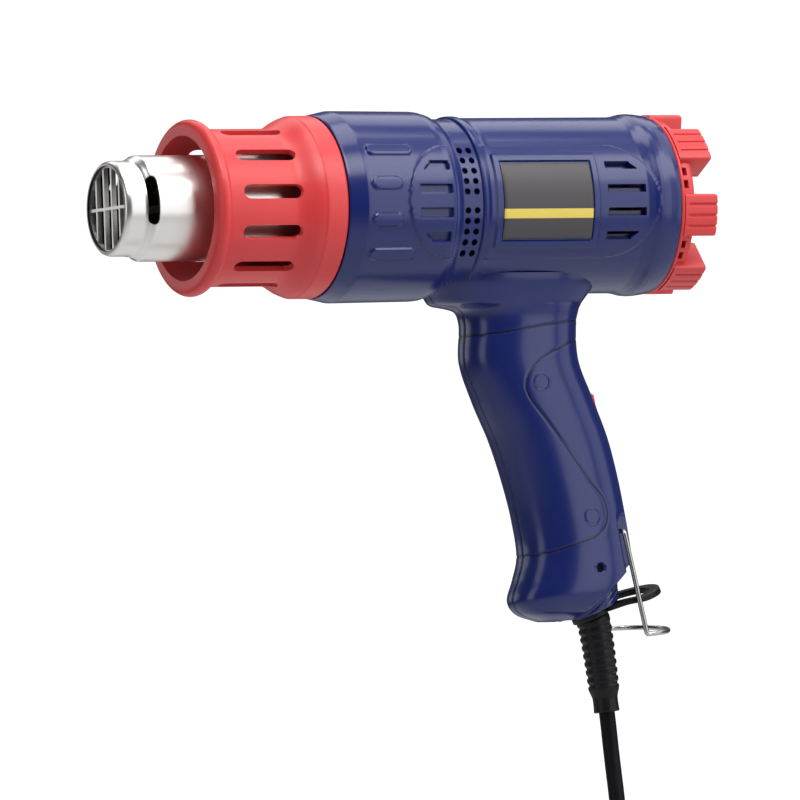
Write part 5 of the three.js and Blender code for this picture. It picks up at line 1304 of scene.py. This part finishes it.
# Distance along the plug and its half sizes
PLUG_KNOTS = [(0, 4.2, 4.2), (0.8, 4.6, 4.6), (12, 5.2, 5.2), (25, 6.0, 6.0), (30, 9.0, 10.8), (37, 11, 16.6)]
PLUG_KNOTS += [(45, 11, 18), (57.5, 11, 18), (59.6, 10.6, 17.6), (60.7, 9.8, 16.8), (61, 8.6, 15.6)]
PLUG_LAP, PLUG_LENGTH, PLUG_RIB, PLUG_RIB_STEP, PLUG_RIBBED = 0.3, 61.0, 0.35, 3.2, (2, 24)
PLUG_SQUARE, PLUG_SQUARED = 0.6, (25, 40)
PIN_RADIUS, PIN_LENGTH, PIN_APART, PIN_LAP = 2.4, 16.6, 9.5, 0.6
TIE_GAP, TIE_THICK, TIE_FRONT, TIE_SLACK = 0.3, 1.4, -5.85, (0.9, 2.0)
TIE_HALF, TIE_CROWN, TIE_ROUND = 3.7, 4.0, 2.0


def hank_path(steps):
    """Loops of the hank: half circles at both folds and runs drawn in by 8 sin^2 between them, spiralling in
    over one layer, climbing by a smoothstep and spiralling out over the next."""
    turns = np.arange(HANK_TURNS * steps) / steps
    radius = HANK_FOLD + HANK_PITCH * np.abs(turns - HANK_REVERSE)
    y = HANK_LAYER + HANK_PITCH * smooth(-HANK_CLIMB, HANK_CLIMB, turns - HANK_REVERSE)
    quarter = (turns % 1) * 4
    leg = np.floor(quarter).astype(int)
    share = quarter - leg
    swing = np.pi * share
    side = radius - HANK_DRAW * np.sin(swing) ** 2
    low = HANK_TOP - HANK_RUN
    xs = [radius * np.cos(swing), -side, -radius * np.cos(swing), side]
    zs = [low - radius * np.sin(swing), low + HANK_RUN * share]
    zs += [HANK_TOP + radius * np.sin(swing), HANK_TOP - HANK_RUN * share]
    return np.stack([HANK_X + np.choose(leg, xs), y, np.choose(leg, zs)], axis=1)


def cord_path():
    """One line from the strain relief to the plug: the free stretch, then the hank."""
    return np.concatenate([spline(CORD_ROUTE, 12), hank_path(96), [HANK_END + HANK_TAIL * UP, HANK_END]])


def strain_relief(ribs):
    """Boot along a cubic bend from the slanting exit to the cord's run: the radius tapers and dips between
    ribs, less so on two webs along its sides, and ends in a plain bell."""
    top = EXIT + RELIEF_TOP * EXIT_DOWN
    lead, tail = top + RELIEF_LEAD * EXIT_DOWN, RELIEF_TIP + RELIEF_TAIL
    t = np.linspace(0, 1, 2001)[:, None]
    curve = (1 - t) ** 3 * top + 3 * t * (1 - t) ** 2 * lead + 3 * t**2 * (1 - t) * tail + t**3 * RELIEF_TIP
    curve = np.concatenate([curve, [RELIEF_TIP + BOOT_LAP * (RELIEF_TIP - tail)]])
    run = np.concatenate([[0], np.cumsum(np.linalg.norm(np.diff(curve, axis=0), axis=1))])
    along = np.linspace(0, run[-1], 18 * ribs + 90)
    path = np.stack([np.interp(along, run, curve[:, k]) for k in range(3)], axis=1)
    last = run[-1] - BOOT_PLAIN
    share = np.clip((along - BOOT_FIRST) / (last - BOOT_FIRST), 0, 1)
    taper = BOOT_TOP + (BOOT_FOOT - BOOT_TOP) * share
    phase = share * ribs % 1
    dip = BOOT_RIB * smooth(*BOOT_RIB_RISE, phase) * fall(*BOOT_RIB_FALL, phase)
    below = (along - last) / (run[-1] - last)
    bell = BOOT_FOOT - BOOT_BELL * smooth(0.0, 0.5, below) + BOOT_LIP * smooth(*BOOT_LIP_SPAN, below)
    core = np.where(along > last, bell, taper)
    core = core - BOOT_END * smooth(*BOOT_END_SPAN, below) - BOOT_HEAD * fall(*BOOT_HEAD_SPAN, along)
    off_web = np.abs(nearest_turn(2 * full_turn(BOOT_SIDES), 2 * BOOT_WEB)) / 2
    web = fall(*BOOT_WEB_SPAN, off_web)
    radius = core[:, None] - dip[:, None] * (1 - BOOT_WEB_SHARE * web)[None, :]
    return lofted(tube_loops(path, radius[..., None], BOOT_SIDES))


def plug_body():
    """Plug along the cord's end: oval loops whose half sizes follow a spline from the sleeve to the face."""
    drop, *halves = spline(PLUG_KNOTS, 5).T[..., None]
    rib = PLUG_RIB * np.sin(drop * 2 * np.pi / PLUG_RIB_STEP) * (drop > PLUG_RIBBED[0]) * (drop < PLUG_RIBBED[1])
    power = 2 / (2 + PLUG_SQUARE * smooth(*PLUG_SQUARED, drop))
    turn = full_turn(PATCH_SIDES)
    x, y = ((half + rib) * signed_power(wave(turn), power) for half, wave in zip(halves, (np.cos, np.sin)))
    return lofted(HANK_END + np.stack([x, y, -(PLUG_LAP + drop) + 0 * x], axis=-1))


def plug_pin(side):
    """Round pin with a domed tip."""
    dome, tip = np.linspace(0.15, np.pi / 2, 7), np.linspace(0.15, np.pi / 2 - 0.05, 7)
    drop = np.concatenate([[0, PIN_LENGTH], PIN_LENGTH + PIN_RADIUS * np.sin(dome)])
    radius = PIN_RADIUS * np.concatenate([[1, 1], np.cos(tip)])
    top = HANK_END + side * PIN_APART * ACROSS - (PIN_LAP + PLUG_LENGTH) * UP
    return swept(top - drop[:, None] * UP, radius, 24)


def tie_band(radius):
    """Band round the hank's waist: a flat section carried round a rounded rectangle."""
    reach = HANK_FOLD - HANK_DRAW + radius + TIE_GAP
    left, right = HANK_X - reach - HANK_PITCH * HANK_REVERSE, HANK_X + reach + HANK_PITCH * HANK_OUT + TIE_SLACK[1]
    near, far = TIE_FRONT - radius - TIE_SLACK[0], HANK_LAYER + HANK_PITCH + radius + TIE_GAP
    inner, outer = (
        rounded_box(left - out, right + out, near - out, far + out, TIE_ROUND + out, 6) for out in (0.0, TIE_THICK)
    )
    middle = 0.5 * (inner + outer)
    section = [(outer, -TIE_HALF), (outer, TIE_HALF), (middle, TIE_CROWN)]
    section += [(inner, TIE_HALF), (inner, -TIE_HALF), (middle, -TIE_CROWN)]
    z = HANK_TOP - HANK_RUN / 2
    return ringed(np.stack([np.column_stack([edge, np.full(len(edge), z + up)]) for edge, up in section], axis=1))


class OBJECT_OT_hot_air_cord(Operator):
    """Builds the strain relief, the mains cord with its hank, the tie and the plug."""

    bl_idname = "object.hot_air_cord"
    bl_label = "Cord and plug"

    def execute(self, context):
        sizes = context.scene.hot_air_cord
        radius = sizes.radius / MM
        path = cord_path()
        solids = ["power_cord", "power_cord_hank"]
        cord = add_piece("mains_cord", swept(path, radius, 20), "cord_rubber", solids, crease=60)
        add_piece("cord_boot", strain_relief(sizes.ribs), "black_rubber", ["strain_relief"], crease=60)
        plug = add_piece("plug_moulding", plug_body(), "black_rubber", ["plug_body"], crease=50)
        pins = [
            add_piece(f"plug_contact_{number}", plug_pin(side), "brass", [f"plug_pin_{number}"])
            for number, side in ((1, -1), (2, 1))
        ]
        tie = add_piece("tie_band", tie_band(radius), "black_plastic", ["hank_tie"])
        return {"FINISHED"}


# Carried-over solids

NODE_FINISHES = {
    "grille_steel": ("nozzle_grille",),
    "mica": ("mica_sleeve", "heater_core"),
    "resistance_wire": ("heater_coil",),
    "dull_steel": ("thermal_fuse", "motor_can", "motor_armature", "clamp_screw_1", "clamp_screw_2"),
    "black_plastic": (
        "air_funnel", "motor_holder", "motor_end_bell", "fan_impeller", "switch_body", "cord_clamp",
    ),
    "bronze": ("front_bush", "rear_bush"),
    "cord_rubber": ("cord_tail",),
    "dark_steel": ("housing_screw_1", "housing_screw_2", "housing_screw_3"),
    "board_green": ("control_board",),
    "brass": ("inner_lead_1", "inner_lead_2"),
}


class OBJECT_OT_hot_air_inside(Operator):
    """Gives the heater, motor, fan, switch body and other carried-over solids their finishes."""

    bl_idname = "object.hot_air_inside"
    bl_label = "Inner parts"

    def execute(self, context):
        for finish, names in NODE_FINISHES.items():
            for name in names:
                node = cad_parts[name]
                node.data.materials.clear()
                node.data.materials.append(finish_material(finish))
        return {"FINISHED"}


# Stage

VIEW_RIGHT = Vector((0.896, -0.4428, -0.0344))
VIEW_UP = Vector((0.010, -0.0576, 0.998))
VIEW_AIM = Vector((-0.06544, 0.0, 0.01657))
VIEW_DISTANCE, VIEW_WIDTH, VIEW_FAR = 9.0, 0.32, 50.0
SENSOR = 36.0
EXPOSURE, GAMMA, GLOW = 0.12, 0.94, 0.085
FLOOR_LEVEL, FLOOR_HALF = -0.366, 3.0
LIGHT_AIM = (-0.05, 0.0, 0.02)
# Name, place, size and power of each light, and where it aims and how wide if not as the others
SOFTBOXES = (
    ("right_box", (0.9, -1.65, 0.26), (0.9, 1.5), 6.5),
    ("side_box", (1.66, -0.88, 0.26), (0.9, 1.5), 4.6),
    ("right_high_box", (0.91, -1.08, 1.27), (1.2, 0.9), 12.0),
    ("upper_box", (0.75, -0.45, 1.5), (0.8, 0.6), 1.0),
    ("rear_high_box", (1.34, 0.12, 1.34), (1.2, 0.9), 4.0),
    ("top_box", (0.0, -0.07, 1.9), (1.6, 0.9), 13.8),
    ("back_box", (0.32, 1.18, 1.46), (1.8, 0.9), 7.0),
    ("left_box", (-1.83, -0.39, 0.33), (0.8, 1.5), 5.0),
    ("front_box", (-0.2, -0.45, 0.62), (0.45, 0.35), 0.4, (-0.08, 0.0, 0.13), 60),
    ("back_left_box", (-0.9, 1.6, 0.25), (1.0, 0.8), 2.0),
)


def add_softbox(name, place, size, power, aim=LIGHT_AIM, spread=180):
    """A rectangular area light that faces its aim."""
    light = bpy.data.lights.new(name, "AREA")
    light.shape = "RECTANGLE"
    light.size, light.size_y = size
    light.energy = power
    light.spread = math.radians(spread)
    lamp = place_piece(name, light)
    lamp.location = place
    lamp.rotation_euler = (Vector(aim) - Vector(place)).to_track_quat("-Z", "Y").to_euler()


def add_camera(scene):
    """A long lens far away, square to the view's right and up."""
    lens = bpy.data.cameras.new("studio_camera")
    lens.sensor_width = SENSOR
    lens.lens = SENSOR * VIEW_DISTANCE / VIEW_WIDTH
    lens.clip_end = VIEW_FAR
    camera = place_piece("studio_camera", lens)
    back = VIEW_RIGHT.cross(VIEW_UP).normalized()
    right = VIEW_UP.cross(back).normalized()
    turn = Matrix((right, back.cross(right), back)).transposed().to_4x4()
    camera.matrix_world = Matrix.Translation(VIEW_AIM + VIEW_DISTANCE * back) @ turn
    scene.camera = camera


def add_surround(scene):
    """White to the camera, and a faint glow to everything else."""
    scene.world = bpy.data.worlds.new("white_surround")
    scene.world.use_nodes = True
    tree = scene.world.node_tree
    glow = tree.nodes["Background"]
    feed(tree, glow.inputs["Color"], (GLOW, GLOW, GLOW, 1.0))
    white = add_node(tree, "Background", {"Color": (1.0, 1.0, 1.0, 1.0)})
    seen = add_node(tree, "LightPath").outputs["Is Camera Ray"]
    mix = add_node(tree, "MixShader", {"Fac": seen, 1: glow.outputs[0], 2: white.outputs[0]})
    feed(tree, tree.nodes["World Output"].inputs["Surface"], mix.outputs["Shader"])


class OBJECT_OT_hot_air_stage(Operator):
    """Sets the camera, the floor, the white surround and the soft lights."""

    bl_idname = "object.hot_air_stage"
    bl_label = "Stage"

    def execute(self, context):
        scene = context.scene
        scene.view_settings.view_transform = "Standard"
        scene.view_settings.exposure = EXPOSURE
        scene.view_settings.gamma = GAMMA
        add_camera(scene)
        add_surround(scene)
        corners = [(FLOOR_HALF * x, FLOOR_HALF * y, FLOOR_LEVEL) for x, y in ((-1, -1), (1, -1), (1, 1), (-1, 1))]
        mesh = bpy.data.meshes.new("studio_floor")
        mesh.from_pydata(corners, [], [(0, 1, 2, 3)])
        floor = place_piece("studio_floor", mesh)
        floor.data.materials.append(paper_material("studio_paper"))
        for box in SOFTBOXES:
            add_softbox(*box)
        return {"FINISHED"}


class VIEW3D_PT_hot_air(Panel):
    """Lists the tool's pieces and their sizes."""

    bl_idname = "VIEW3D_PT_hot_air"
    bl_label = "Hot air tool"
    bl_space_type = "VIEW_3D"
    bl_region_type = "UI"
    bl_category = "Hot air tool"

    def draw(self, context):
        layout = self.layout
        for operator in OPERATORS:
            layout.operator(operator.bl_idname)
        for name in SETTINGS:
            box = layout.box()
            settings = getattr(context.scene, name)
            for key in settings.__annotations__:
                box.prop(settings, key)


SETTINGS = {
    "hot_air_housing": HotAirHousing,
    "hot_air_front": HotAirFront,
    "hot_air_rear": HotAirRear,
    "hot_air_cord": HotAirCord,
    "hot_air_finishes": HotAirFinishes,
}
OPERATORS = (
    OBJECT_OT_hot_air_stage,
    OBJECT_OT_hot_air_cord,
    OBJECT_OT_hot_air_housing,
    OBJECT_OT_hot_air_collar,
    OBJECT_OT_hot_air_front,
    OBJECT_OT_hot_air_rear,
    OBJECT_OT_hot_air_fittings,
    OBJECT_OT_hot_air_inside,
)


def register():
    for cls in (*SETTINGS.values(), *OPERATORS, VIEW3D_PT_hot_air):
        bpy.utils.register_class(cls)
    for name, cls in SETTINGS.items():
        setattr(bpy.types.Scene, name, PointerProperty(type=cls))


def unregister():
    for name in SETTINGS:
        delattr(bpy.types.Scene, name)
    for cls in reversed((*SETTINGS.values(), *OPERATORS, VIEW3D_PT_hot_air)):
        bpy.utils.unregister_class(cls)


def main():
    register()
    bpy.ops.object.hot_air_stage()
    bpy.ops.object.hot_air_cord()
    bpy.ops.object.hot_air_housing()
    bpy.ops.object.hot_air_collar()
    bpy.ops.object.hot_air_front()
    bpy.ops.object.hot_air_rear()
    bpy.ops.object.hot_air_fittings()
    bpy.ops.object.hot_air_inside()


if __name__ == "__main__":
    main()
